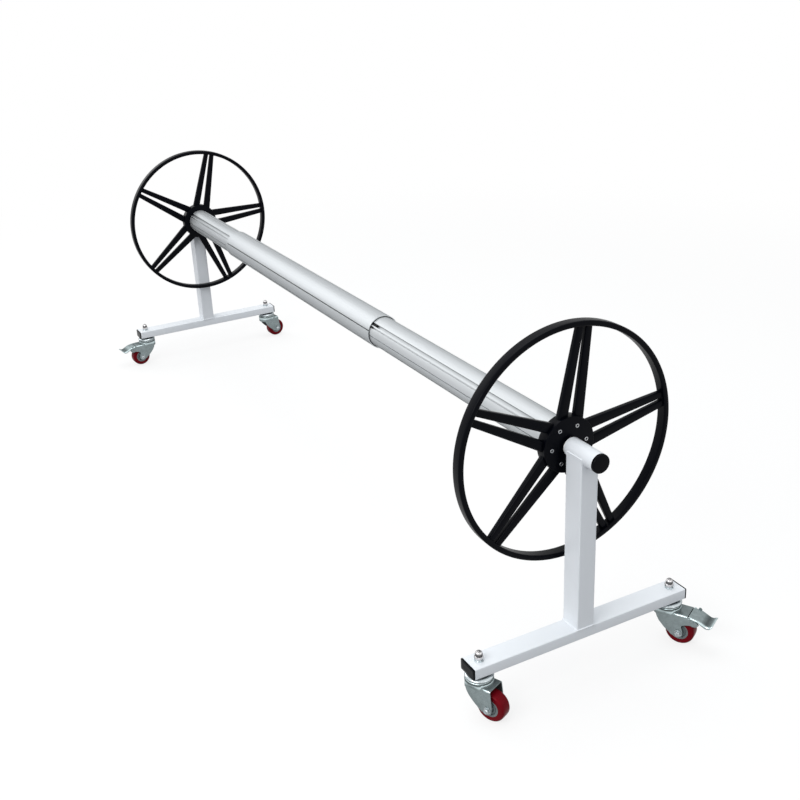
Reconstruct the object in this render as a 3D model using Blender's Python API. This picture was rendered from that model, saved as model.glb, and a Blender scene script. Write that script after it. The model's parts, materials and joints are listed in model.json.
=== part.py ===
"""Pool cover reel: two wheeled stands and a telescoping tube between two handwheels.

Metres, +Z up, the floor at Z = 0. The reel turns about a line along X. The near end
is the +X end. The model is centred over its own footprint.
"""

import math

import bmesh
import bpy
from mathutils import Vector

# Clearance between two neighbouring solids
GAP = 0.0003

# Inner tubes of the reel, and the sleeve they slide in
TUBE_RADIUS = 0.048
TUBE_WALL = 0.0025
NEAR_TUBE_LENGTH = 1.280
FAR_TUBE_LENGTH = 1.280
NEAR_TUBE_INSERTION = 0.350
FAR_TUBE_INSERTION = 0.796
SLEEVE_RADIUS = 0.053
SLEEVE_WALL = 0.0025
SLEEVE_LENGTH = 1.274
RING_LENGTH = 0.025
RING_FLANGE = 0.001
RING_FLANGE_INSET = 0.0018

# Lengthwise channel and lines of the extruded tubes, at angles from +Y towards +Z
CHANNEL_ANGLE = 134
CHANNEL_WIDTH = 0.009
CHANNEL_DEPTH = 0.007
GROOVE_ANGLE = 148.5
GROOVE_WIDTH = 0.005
GROOVE_DEPTH = 0.0012
LINE_ANGLE = 170
SLEEVE_LINE_ANGLE = 161
LINE_WIDTH = 0.0018
LINE_DEPTH = 0.0008

# Handwheels
WHEEL_RADIUS = 0.306
RIM_THICKNESS = 0.0145
RIM_DEPTH = 0.030
RIM_CORNER = 0.004
HUB_RADIUS = 0.072
HUB_DEPTH = 0.031
SPOKE_DEPTH = 0.016
SPOKE_PAIRS = 5
PAIR_WIDTH_AT_HUB = 0.073
PAIR_WIDTH_AT_RIM = 0.043
SLIT_WIDTH_AT_HUB = 0.019
SLIT_WIDTH_AT_RIM = 0.007
NEAR_WHEEL_TURN = 9
FAR_WHEEL_TURN = 2.7

# Axle, plug and plain bearing at each end of the reel
AXLE_RADIUS = 0.015
AXLE_FLANGE_RADIUS = 0.025
AXLE_FLANGE_LENGTH = 0.005
PLUG_LENGTH = 0.040
BEARING_RADIUS = 0.0242
BEARING_WALL = 0.003
BEARING_STANDOFF = 0.0105
BEARING_INBOARD = 0.040
BEARING_OUTBOARD = 0.0635
BUSH_FLANGE_LENGTH = 0.003
BUSH_FLANGE_RADIUS = 0.023
COLLAR_LENGTH = 0.010
CAP_HEAD_LENGTH = 0.009
CAP_CROWN = 0.003
CAP_SPIGOT_LENGTH = 0.010
AXLE_END_ROOM = 0.002

# Stands
BEAM_LENGTH = 0.645
BEAM_WIDTH = 0.060
BEAM_HEIGHT = 0.030
BEAM_CORNER = 0.003
STEEL_WALL = 0.0025
POST_WIDTH_X = 0.060
POST_WIDTH_Y = 0.050
AXLE_ABOVE_BEAM = 0.473
BEAM_CAP_HEAD = 0.0025
BEAM_CAP_SPIGOT = 0.012

# Casters: heights are measured down from the beam's underside, X from the stem along the trail
CASTER_HEIGHT = 0.1235
CASTER_SPACING = 0.587
CASTER_TRAIL = 0.0395
STEM_RADIUS = 0.006
STEM_HEAD_RADIUS = 0.0105
STEM_HEAD_LENGTH = 0.005
CUP_RADIUS = 0.036
CUP_DOME = 0.008
CUP_NECK_RADIUS = 0.014
CUP_TOP_DROP = 0.004
CUP_HEIGHT = 0.009
RACE_RADIUS = 0.0335
RACE_FOOT_RADIUS = 0.0355
RACE_FOOT_HEIGHT = 0.006
RACE_STEP = 0.001
FORK_TOP_DROP = 0.027
FORK_PLATE = 0.0028
FORK_WIDTH = 0.055
FORK_REACH = 0.0475
BRAKE_FORK_REACH = 0.0617
CHEEK_EYE_X = 0.0365
CHEEK_EYE_RADIUS = 0.0175
CHEEK_EYE_ARC = (225, 252, 279, 306, 333, 360)
CHEEK_REAR = ((-0.0235, 0.037), (-0.0205, 0.048), (-0.0135, 0.0595), (0.0, 0.073), (0.020, 0.0935))
CHEEK_FRONT = ((0.0536, 0.072), (0.0523, 0.052))
EAR = ((0.0533, 0.072), (0.054, 0.063), (0.058, 0.0565), (0.064, 0.0545), (0.087, 0.055),
       (0.0935, 0.046), (0.093, 0.0455), (0.076, 0.0334), (0.0617, 0.0324))
TYRE_RADIUS = 0.039
TYRE_WIDTH = 0.034
TYRE_TREAD = 0.015
TYRE_SHOULDER = (0.0125, 0.0012)
TYRE_WALL_DROP = 0.005
CORE_RADIUS = 0.028
CORE_LIP = 0.004
CORE_WEB = 0.012
CORE_BOSS_RADIUS = 0.012
AXLE_BOLT_RADIUS = 0.004
AXLE_BOLT_HEAD_RADIUS = 0.0088
AXLE_BOLT_HEAD_LENGTH = 0.0055

# Domed nut and its washers on each stem
WASHER_RADIUS = 0.013
WASHER_HEIGHT = 0.0025
LOCK_WASHER_RADIUS = 0.0105
LOCK_WASHER_HEIGHT = 0.003
NUT_ACROSS_FLATS = 0.019
NUT_HEX_HEIGHT = 0.010
NUT_DOME_RADIUS = 0.0094
NUT_DOME_COLLAR = 0.002
NUT_DOME_STEPS = 4

# Brake pedal: its pin in the fork's ears, and side views of its bent pieces as (X, drop)
PEDAL_PIN_X = 0.073
PEDAL_PIN_DROP = 0.038
PEDAL_PIN_RADIUS = 0.003
PEDAL_PIN_HEAD_RADIUS = 0.005
PEDAL_PIN_HEAD_LENGTH = 0.002
PEDAL_PLATE = 0.0028
PEDAL_WALL = 0.0024
SHOE_WIDTH = 0.024
PEDAL_TOP = ((0.0623, 0.0276), (0.072, 0.0286), (0.088, 0.031), (0.098, 0.035),
             (0.109, 0.041), (0.116, 0.0425), (0.121, 0.0405), (0.127, 0.0375))
PEDAL_FLANGE = ((0.088, 0.032), (0.098, 0.036), (0.109, 0.042), (0.116, 0.0435), (0.1248, 0.0400),
                (0.1248, 0.0440), (0.118, 0.0485), (0.110, 0.0490), (0.104, 0.0465),
                (0.096, 0.042), (0.090, 0.0355))
PEDAL_SKIRT = ((0.0628, 0.029), (0.0635, 0.044), (0.068, 0.049), (0.084, 0.049), (0.091, 0.042),
               (0.091, 0.033))
PEDAL_SHOE = ((0.0665, 0.0295), (0.0665, 0.0539), (0.071, 0.058), (0.078, 0.052), (0.078, 0.031))
PEDAL_TAB = ((0.0745, 0.030), (0.0755, 0.0265), (0.078, 0.025), (0.082, 0.026), (0.086, 0.032))

# Swivel angle of each caster from +X towards +Y, and whether it has a brake
CASTERS = {
    "near_left": (24.5, False),
    "near_right": (30, True),
    "far_left": (-84, True),
    "far_right": (98, False),
}

# Facets round the turned pieces
RIM_FACETS = 48
RING_FACETS = 36
ROUND_FACETS = 24
CUP_FACETS = 20
TYRE_FACETS = 24
CORE_FACETS = 16
SMALL_FACETS = 12
ARC_STEP = math.radians(9)

# Turns a piece made along its own Z so that it lies along X, its own X along Y
ALONG_X = (math.pi / 2, 0, math.pi / 2)
ALONG_Y = (math.pi / 2, 0, 0)

# Colour, roughness and metallic value of each material
FINISHES = {
    "white_powder_coat": ((0.86, 0.87, 0.88, 1), 0.35, 0.0),
    "anodised_aluminium": ((0.80, 0.81, 0.83, 1), 0.35, 1.0),
    "black_moulding": ((0.012, 0.012, 0.014, 1), 0.40, 0.0),
    "black_plastic": ((0.016, 0.016, 0.018, 1), 0.45, 0.0),
    "white_nylon": ((0.78, 0.78, 0.76, 1), 0.50, 0.0),
    "steel": ((0.56, 0.57, 0.58, 1), 0.30, 1.0),
    "zinc_plate": ((0.55, 0.58, 0.58, 1), 0.38, 1.0),
    "stainless": ((0.66, 0.66, 0.65, 1), 0.20, 1.0),
    "red_tyre": ((0.30, 0.010, 0.018, 1), 0.40, 0.0),
    "grey_core": ((0.30, 0.32, 0.33, 1), 0.50, 0.0),
}

# Derived places along X, from the middle of the two inner tubes
TUBE_SPAN = NEAR_TUBE_LENGTH + FAR_TUBE_LENGTH + SLEEVE_LENGTH - NEAR_TUBE_INSERTION - FAR_TUBE_INSERTION
TUBE_END = TUBE_SPAN / 2
SLEEVE_NEAR_END = TUBE_END - NEAR_TUBE_LENGTH + NEAR_TUBE_INSERTION
SLEEVE_FAR_END = SLEEVE_NEAR_END - SLEEVE_LENGTH
HUB_INNER_FACE = TUBE_END + GAP
HUB_OUTER_FACE = HUB_INNER_FACE + HUB_DEPTH
BEARING_START = HUB_OUTER_FACE + BEARING_STANDOFF
STAND_X = BEARING_START + BEARING_INBOARD
BEARING_END = STAND_X + BEARING_OUTBOARD

# Derived heights
BEAM_BOTTOM = CASTER_HEIGHT
BEAM_TOP = BEAM_BOTTOM + BEAM_HEIGHT
AXLE_HEIGHT = BEAM_TOP + AXLE_ABOVE_BEAM
RACE_TOP_DROP = CUP_TOP_DROP + CUP_HEIGHT + GAP
FORK_UNDERSIDE_DROP = FORK_TOP_DROP + FORK_PLATE
WHEEL_DROP = CASTER_HEIGHT - TYRE_RADIUS
FORK_INNER = FORK_WIDTH / 2 - FORK_PLATE


def clear_scene():
    for item in list(bpy.data.objects):
        bpy.data.objects.remove(item)


def make_materials():
    for name, (colour, roughness, metallic) in FINISHES.items():
        material = bpy.data.materials.new(name)
        material.use_nodes = True
        shader = material.node_tree.nodes["Principled BSDF"]
        shader.inputs["Base Color"].default_value = colour
        shader.inputs["Roughness"].default_value = roughness
        shader.inputs["Metallic"].default_value = metallic


def make_empty(name, parent, location=(0, 0, 0), turn=0.0):
    """An empty on a joint's axis, turned about Z."""
    empty = bpy.data.objects.new(name, None)
    bpy.context.collection.objects.link(empty)
    empty.parent = parent
    empty.location = location
    empty.rotation_euler = (0, 0, turn)
    return empty


def make_object(name, bm, finish, parent, location=(0, 0, 0), rotation=(0, 0, 0)):
    """An object from a bmesh, with outward faces and smooth round sides."""
    bmesh.ops.remove_doubles(bm, verts=bm.verts, dist=0.000001)
    bmesh.ops.recalc_face_normals(bm, faces=bm.faces)
    mesh = bpy.data.meshes.new(name)
    bm.to_mesh(mesh)
    bm.free()
    mesh.shade_smooth()
    mesh.set_sharp_from_angle(angle=math.radians(35))
    mesh.materials.append(bpy.data.materials[finish])
    item = bpy.data.objects.new(name, mesh)
    bpy.context.collection.objects.link(item)
    item.parent = parent
    item.location = location
    item.rotation_euler = rotation
    return item


def combine(item, operation, bm, location=(0, 0, 0), rotation=(0, 0, 0)):
    """Boolean of an object with a hidden helper solid placed beside it."""
    helper = make_object(f"{item.name}_{operation.lower()}", bm, item.data.materials[0].name,
                         item.parent, location, rotation)
    helper.hide_render = True
    helper.display_type = "WIRE"
    modifier = item.modifiers.new(helper.name, "BOOLEAN")
    modifier.operation = operation
    modifier.object = helper
    modifier.solver = "EXACT"


def turned(profile, facets, phase=0.0):
    """A solid turned about Z from points of (height, radius); radius 0 closes it on the axis.

    A profile that never meets the axis is closed on itself, which leaves a bore.
    """
    bm = bmesh.new()
    verts = [bm.verts.new((radius * math.cos(phase), radius * math.sin(phase), height))
             for height, radius in profile]
    edges = [bm.edges.new(pair) for pair in zip(verts, verts[1:])]
    if profile[0][1] > 0:
        edges.append(bm.edges.new((verts[-1], verts[0])))
    bmesh.ops.spin(bm, geom=verts + edges, cent=(0, 0, 0), axis=(0, 0, 1), dvec=(0, 0, 0),
                   angle=2 * math.pi, steps=facets, use_merge=True, use_duplicate=False)
    return bm


def prism(outline, low, high):
    """A flat outline of (x, y) points extruded along Z from low to high."""
    bm = bmesh.new()
    face = bm.faces.new([bm.verts.new((x, y, low)) for x, y in outline])
    raised = bmesh.ops.extrude_face_region(bm, geom=[face])["geom"]
    corners = [part for part in raised if isinstance(part, bmesh.types.BMVert)]
    bmesh.ops.translate(bm, verts=corners, vec=(0, 0, high - low))
    return bm


def tube_prism(outer, inner, low, high):
    """A tube whose outer and inner outlines have matching points."""
    bm = bmesh.new()
    outside = [bm.verts.new((x, y, low)) for x, y in outer]
    inside = [bm.verts.new((x, y, low)) for x, y in inner]
    count = len(outside)
    ring = []
    for index in range(count):
        after = (index + 1) % count
        ring.append(bm.faces.new((outside[index], outside[after], inside[after], inside[index])))
    raised = bmesh.ops.extrude_face_region(bm, geom=ring)["geom"]
    corners = [part for part in raised if isinstance(part, bmesh.types.BMVert)]
    bmesh.ops.translate(bm, verts=corners, vec=(0, 0, high - low))
    return bm


def side_view(points, from_x=0.0, from_drop=0.0):
    """Outline of (X, drop) points as (x, height) points, moved to a frame at from_x, from_drop."""
    return [(x - from_x, from_drop - drop) for x, drop in points]


def cylinder(radius, low, high, facets, phase=0.0):
    return turned([(low, 0), (low, radius), (high, radius), (high, 0)], facets, phase)


def rounded_rectangle(width, height, corner, steps=2):
    """Outline of a rectangle with rounded corners, centred on the origin."""
    points = []
    for quarter, (sx, sy) in enumerate(((1, 1), (-1, 1), (-1, -1), (1, -1))):
        cx = sx * (width / 2 - corner)
        cy = sy * (height / 2 - corner)
        for step in range(steps + 1):
            angle = math.pi / 2 * (quarter + step / steps)
            points.append((cx + corner * math.cos(angle), cy + corner * math.sin(angle)))
    return points


def extrusion_outline(radius, offset, features):
    """Outline of an extruded round tube, moved inwards from its surface by offset.

    Each feature is (angle, width, depth, follow): a channel that the wall follows inwards,
    or a shallow line that only the outer surface has.
    """
    ring = radius - offset
    marks = []
    for angle, width, depth, follow in sorted(features):
        half = width / 2 + (offset if follow else 0)
        spread = math.asin(half / ring)
        marks.append((math.radians(angle), half, depth, follow, spread))
    points = []
    for index, (angle, half, depth, follow, spread) in enumerate(marks):
        sunk = follow or offset == 0
        floor = radius - depth - offset if sunk else ring * math.cos(spread / 2)
        floor_half = half if sunk else ring * math.sin(spread / 2)
        edge = ring * math.cos(spread)
        for out, side in ((edge, -half), (floor, -floor_half), (floor, floor_half), (edge, half)):
            points.append((out * math.cos(angle) - side * math.sin(angle),
                           out * math.sin(angle) + side * math.cos(angle)))
        following = marks[(index + 1) % len(marks)]
        next_angle = following[0] + (2 * math.pi if index + 1 == len(marks) else 0)
        steps = max(2, round((next_angle - angle) / ARC_STEP))
        start = angle + spread
        stop = next_angle - following[4]
        for step in range(1, steps):
            turn = start + (stop - start) * step / steps
            points.append((ring * math.cos(turn), ring * math.sin(turn)))
    return points


def both_sides(*features):
    """The features, and the same again half a turn round the tube."""
    return list(features) + [(angle + 180, *rest) for angle, *rest in features]


TUBE_FEATURES = both_sides(
    (CHANNEL_ANGLE, CHANNEL_WIDTH, CHANNEL_DEPTH, True),
    (GROOVE_ANGLE, GROOVE_WIDTH, GROOVE_DEPTH, False),
    (LINE_ANGLE, LINE_WIDTH, LINE_DEPTH, False),
)
SLEEVE_FEATURES = both_sides((SLEEVE_LINE_ANGLE, LINE_WIDTH, LINE_DEPTH, False))


def make_inner_tube(end, parent, side, length):
    """An inner tube and the plug in its outer end; side is 1 near and -1 far."""
    outer = extrusion_outline(TUBE_RADIUS, 0, TUBE_FEATURES)
    inner = extrusion_outline(TUBE_RADIUS, TUBE_WALL, TUBE_FEATURES)
    ends = sorted((side * (TUBE_END - length), side * TUBE_END))
    make_object(f"{end}_tube", tube_prism(outer, inner, *ends), "anodised_aluminium", parent,
                rotation=ALONG_X)

    fitted = extrusion_outline(TUBE_RADIUS, TUBE_WALL + GAP, TUBE_FEATURES)
    bounds = sorted((side * (TUBE_END - PLUG_LENGTH), side * TUBE_END))
    plug = make_object(f"{end}_tube_plug", prism(fitted, *bounds), "black_plastic", parent,
                       rotation=ALONG_X)
    bore = cylinder(AXLE_RADIUS + GAP, bounds[0] - GAP, bounds[1] + GAP, ROUND_FACETS)
    combine(plug, "DIFFERENCE", bore, rotation=ALONG_X)


def make_axle(end, parent, side):
    """The stub axle: a flange behind the plug, then a shaft out to the collar."""
    start = TUBE_END - PLUG_LENGTH - GAP
    stop = axle_end()
    profile = [
        (side * (start - AXLE_FLANGE_LENGTH), 0),
        (side * (start - AXLE_FLANGE_LENGTH), AXLE_FLANGE_RADIUS),
        (side * start, AXLE_FLANGE_RADIUS),
        (side * start, AXLE_RADIUS),
        (side * stop, AXLE_RADIUS),
        (side * stop, 0),
    ]
    make_object(f"{end}_axle", turned(profile, ROUND_FACETS), "steel", parent, rotation=ALONG_X)


def axle_end():
    """Where the axle stops, short of the cap in the bearing tube."""
    return BEARING_END - CAP_SPIGOT_LENGTH - AXLE_END_ROOM


def make_handwheel(end, parent, side, turn):
    """Rim, hub and twin spokes, all about the reel's axis."""
    middle = side * (HUB_INNER_FACE + HUB_DEPTH / 2)
    low, high = -RIM_DEPTH / 2, RIM_DEPTH / 2
    inside = WHEEL_RADIUS - RIM_THICKNESS
    rim = [
        (low, inside + RIM_CORNER), (low + RIM_CORNER, inside),
        (high - RIM_CORNER, inside), (high, inside + RIM_CORNER),
        (high, WHEEL_RADIUS - RIM_CORNER), (high - RIM_CORNER, WHEEL_RADIUS),
        (low + RIM_CORNER, WHEEL_RADIUS), (low, WHEEL_RADIUS - RIM_CORNER),
    ]
    wheel = make_object(f"{end}_handwheel", turned(rim, RIM_FACETS), "black_moulding", parent,
                        (middle, 0, 0), ALONG_X)
    start = HUB_RADIUS - RIM_THICKNESS
    stop = WHEEL_RADIUS - RIM_THICKNESS / 2
    for pair in range(SPOKE_PAIRS):
        angle = math.radians(turn) + 2 * math.pi * pair / SPOKE_PAIRS
        for hand in (-1, 1):
            outline = spoke_outline(angle, hand, start, stop)
            spoke = prism(outline, -SPOKE_DEPTH / 2, SPOKE_DEPTH / 2)
            combine(wheel, "UNION", spoke, (middle, 0, 0), ALONG_X)
    hub = cylinder(HUB_RADIUS, -HUB_DEPTH / 2, HUB_DEPTH / 2, RIM_FACETS)
    combine(wheel, "UNION", hub, (middle, 0, 0), ALONG_X)
    bore = cylinder(AXLE_RADIUS + GAP, -HUB_DEPTH, HUB_DEPTH, ROUND_FACETS)
    combine(wheel, "DIFFERENCE", bore, (middle, 0, 0), ALONG_X)


def spoke_outline(angle, hand, start, stop):
    """One spoke of a twin pair, from radius start to stop, on one side of the pair's slit."""
    corners = []
    for radius, side in ((start, 0), (start, 1), (stop, 1), (stop, 0)):
        share = (radius - HUB_RADIUS) / (WHEEL_RADIUS - RIM_THICKNESS - HUB_RADIUS)
        outer = (PAIR_WIDTH_AT_HUB + (PAIR_WIDTH_AT_RIM - PAIR_WIDTH_AT_HUB) * share) / 2
        inner = (SLIT_WIDTH_AT_HUB + (SLIT_WIDTH_AT_RIM - SLIT_WIDTH_AT_HUB) * share) / 2
        across = hand * (outer if side else inner)
        corners.append((radius * math.cos(angle) - across * math.sin(angle),
                        radius * math.sin(angle) + across * math.cos(angle)))
    return corners


def make_sleeve(parent):
    """The outer tube and the guide ring in each of its mouths."""
    outer = extrusion_outline(SLEEVE_RADIUS, 0, SLEEVE_FEATURES)
    inner = extrusion_outline(SLEEVE_RADIUS, SLEEVE_WALL, SLEEVE_FEATURES)
    make_object("centre_sleeve", tube_prism(outer, inner, SLEEVE_FAR_END, SLEEVE_NEAR_END),
                "anodised_aluminium", parent, rotation=ALONG_X)
    for end, side, mouth in (("near", 1, SLEEVE_NEAR_END), ("far", -1, SLEEVE_FAR_END)):
        bore = (TUBE_RADIUS + GAP) / math.cos(math.pi / RING_FACETS)
        fitted = (SLEEVE_RADIUS - SLEEVE_WALL) * math.cos(ARC_STEP / 2) - GAP
        profile = [
            (mouth - side * RING_LENGTH, bore),
            (mouth - side * RING_LENGTH, fitted),
            (mouth + side * GAP, fitted),
            (mouth + side * GAP, SLEEVE_RADIUS - RING_FLANGE_INSET),
            (mouth + side * RING_FLANGE, SLEEVE_RADIUS - RING_FLANGE_INSET),
            (mouth + side * RING_FLANGE, bore),
        ]
        make_object(f"{end}_sleeve_ring", turned(profile, RING_FACETS), "black_plastic", parent,
                    rotation=ALONG_X)


def make_stand(end, parent, side):
    """Base beam with its caps, post and bearing; parent is on the floor under the post."""
    make_base_beam(end, parent)
    make_post(end, parent)
    make_bearing(end, parent, side)


def make_base_beam(end, parent):
    outer = rounded_rectangle(BEAM_WIDTH, BEAM_HEIGHT, BEAM_CORNER)
    inner = rounded_rectangle(BEAM_WIDTH - 2 * STEEL_WALL, BEAM_HEIGHT - 2 * STEEL_WALL,
                              max(BEAM_CORNER - STEEL_WALL, GAP))
    centre = (0, 0, BEAM_BOTTOM + BEAM_HEIGHT / 2)
    walls = tube_prism(outer, inner, -BEAM_LENGTH / 2, BEAM_LENGTH / 2)
    beam = make_object(f"{end}_base_beam", walls, "white_powder_coat", parent, centre, ALONG_Y)
    for hand in (-1, 1):
        hole = cylinder(STEM_RADIUS + GAP, BEAM_BOTTOM - BEAM_HEIGHT, BEAM_TOP + BEAM_HEIGHT,
                        SMALL_FACETS)
        combine(beam, "DIFFERENCE", hole, (0, hand * CASTER_SPACING / 2, 0))
    fitted = 2 * (STEEL_WALL + GAP)
    corner = max(BEAM_CORNER - STEEL_WALL, GAP)
    spigot = rounded_rectangle(BEAM_WIDTH - fitted, BEAM_HEIGHT - fitted, corner)
    for name, hand in (("left", -1), ("right", 1)):
        face = BEAM_LENGTH / 2 + GAP
        head = sorted((-hand * face, -hand * (face + BEAM_CAP_HEAD)))
        cap = make_object(f"{end}_{name}_beam_cap", prism(outer, *head), "black_plastic", parent,
                          centre, ALONG_Y)
        inset = sorted((-hand * (face - BEAM_CAP_SPIGOT), -hand * (face + BEAM_CAP_HEAD / 2)))
        combine(cap, "UNION", prism(spigot, *inset), centre, ALONG_Y)


def make_post(end, parent):
    """Rectangular tube whose top is coped to sit round the bearing tube."""
    outer = rounded_rectangle(POST_WIDTH_X, POST_WIDTH_Y, BEAM_CORNER)
    inner = rounded_rectangle(POST_WIDTH_X - 2 * STEEL_WALL, POST_WIDTH_Y - 2 * STEEL_WALL,
                              max(BEAM_CORNER - STEEL_WALL, GAP))
    post = make_object(f"{end}_upright_post", tube_prism(outer, inner, BEAM_TOP + GAP, AXLE_HEIGHT),
                       "white_powder_coat", parent)
    saddle = cylinder(BEARING_RADIUS + GAP, -POST_WIDTH_X, POST_WIDTH_X, ROUND_FACETS)
    combine(post, "DIFFERENCE", saddle, (0, 0, AXLE_HEIGHT), ALONG_X)


def make_bearing(end, parent, side):
    """Bearing tube, bush, collar and cap; side is the outboard direction along X."""
    bore = BEARING_RADIUS - BEARING_WALL
    tube = [(-side * BEARING_INBOARD, bore), (-side * BEARING_INBOARD, BEARING_RADIUS),
            (side * BEARING_OUTBOARD, BEARING_RADIUS), (side * BEARING_OUTBOARD, bore)]
    axle = (0, 0, AXLE_HEIGHT)
    make_object(f"{end}_bearing_tube", turned(tube, ROUND_FACETS), "white_powder_coat", parent,
                axle, ALONG_X)

    shaft_end = side * (axle_end() - STAND_X)
    collar_start = shaft_end - side * COLLAR_LENGTH
    collar = [(collar_start, AXLE_RADIUS + GAP), (collar_start, bore - 2 * GAP),
              (shaft_end, bore - 2 * GAP), (shaft_end, AXLE_RADIUS + GAP)]
    make_object(f"{end}_axle_collar", turned(collar, ROUND_FACETS), "steel",
                bpy.data.objects[f"{end}_reel"], (side * STAND_X, 0, 0), ALONG_X)

    flange_face = -side * (BEARING_INBOARD + GAP)
    bush_end = shaft_end - side * (COLLAR_LENGTH + GAP)
    bush = [
        (flange_face - side * BUSH_FLANGE_LENGTH, AXLE_RADIUS + GAP),
        (flange_face - side * BUSH_FLANGE_LENGTH, BUSH_FLANGE_RADIUS),
        (flange_face, BUSH_FLANGE_RADIUS),
        (flange_face, bore - GAP),
        (bush_end, bore - GAP),
        (bush_end, AXLE_RADIUS + GAP),
    ]
    make_object(f"{end}_bush", turned(bush, ROUND_FACETS), "white_nylon", parent, axle, ALONG_X)

    rim = side * (BEARING_OUTBOARD + GAP)
    cap = [
        (side * (BEARING_OUTBOARD - CAP_SPIGOT_LENGTH), 0),
        (side * (BEARING_OUTBOARD - CAP_SPIGOT_LENGTH), bore - GAP),
        (rim, bore - GAP),
        (rim, BEARING_RADIUS),
        (rim + side * (CAP_HEAD_LENGTH - CAP_CROWN), BEARING_RADIUS),
        (rim + side * CAP_HEAD_LENGTH, BEARING_RADIUS - CAP_CROWN),
        (rim + side * CAP_HEAD_LENGTH, 0),
    ]
    make_object(f"{end}_bearing_cap", turned(cap, ROUND_FACETS), "black_plastic", parent,
                axle, ALONG_X)


def make_caster(name, stand, side, turn, braked):
    """One caster; its frame is on the stem's axis at the beam's underside, X towards the trail."""
    place = (0, side * CASTER_SPACING / 2, BEAM_BOTTOM)
    make_stem_bolt(name, stand, place)
    make_acorn_nut(name, stand, (place[0], place[1], BEAM_TOP + GAP))
    make_swivel_cup(name, stand, place)

    swivel = make_empty(f"{name}_swivel", stand, place, math.radians(turn))
    make_fork(name, swivel, braked)
    make_axle_bolt(name, swivel)
    wheel = make_empty(f"{name}_wheel", swivel, (CASTER_TRAIL, 0, -WHEEL_DROP))
    make_wheel(name, wheel)
    if braked:
        make_pedal_pin(name, swivel)
        make_pedal(name, make_empty(f"{name}_pedal_joint", swivel, (PEDAL_PIN_X, 0, -PEDAL_PIN_DROP)))


def make_stem_bolt(name, parent, place):
    head_top = -FORK_UNDERSIDE_DROP - GAP
    top = BEAM_HEIGHT + nut_seat_height() + NUT_HEX_HEIGHT
    profile = [(head_top - STEM_HEAD_LENGTH, 0), (head_top - STEM_HEAD_LENGTH, STEM_HEAD_RADIUS),
               (head_top, STEM_HEAD_RADIUS), (head_top, STEM_RADIUS), (top, STEM_RADIUS), (top, 0)]
    make_object(f"{name}_stem_bolt", turned(profile, SMALL_FACETS), "steel", parent, place)


def nut_seat_height():
    return WASHER_HEIGHT + LOCK_WASHER_HEIGHT


def make_acorn_nut(name, parent, place):
    """Washers, hexagon and dome, hollow underneath for the stem's end."""
    hex_top = nut_seat_height() + NUT_HEX_HEIGHT
    profile = [
        (0, 0), (0, WASHER_RADIUS), (WASHER_HEIGHT, WASHER_RADIUS),
        (WASHER_HEIGHT, LOCK_WASHER_RADIUS), (nut_seat_height(), LOCK_WASHER_RADIUS),
        (nut_seat_height(), NUT_DOME_RADIUS), (hex_top + NUT_DOME_COLLAR, NUT_DOME_RADIUS),
    ]
    for step in range(1, NUT_DOME_STEPS + 1):
        angle = math.pi / 2 * step / NUT_DOME_STEPS
        radius = NUT_DOME_RADIUS * math.cos(angle) if step < NUT_DOME_STEPS else 0
        profile.append((hex_top + NUT_DOME_COLLAR + NUT_DOME_RADIUS * math.sin(angle), radius))
    nut = make_object(f"{name}_acorn_nut", turned(profile, SMALL_FACETS), "stainless", parent, place)
    corner = NUT_ACROSS_FLATS / 2 / math.cos(math.pi / 6)
    combine(nut, "UNION", cylinder(corner, nut_seat_height() - GAP, hex_top, 6), place)
    combine(nut, "DIFFERENCE", cylinder(STEM_RADIUS + GAP, -GAP, hex_top + GAP, SMALL_FACETS), place)


def make_swivel_cup(name, parent, place):
    """Upper race: a neck up to the beam and a dished rim over the fork's race."""
    top, bottom = -CUP_TOP_DROP, -CUP_TOP_DROP - CUP_HEIGHT
    bore = STEM_RADIUS + GAP
    shoulder = CUP_DOME * (1 - math.cos(math.pi / 4))
    profile = [
        (-GAP, bore), (-GAP, CUP_NECK_RADIUS), (top, CUP_NECK_RADIUS),
        (top, CUP_RADIUS - CUP_DOME), (top - shoulder, CUP_RADIUS - shoulder),
        (top - CUP_DOME, CUP_RADIUS), (bottom, CUP_RADIUS), (bottom, bore),
    ]
    make_object(f"{name}_swivel_cup", turned(profile, CUP_FACETS), "zinc_plate", parent, place)


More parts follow.
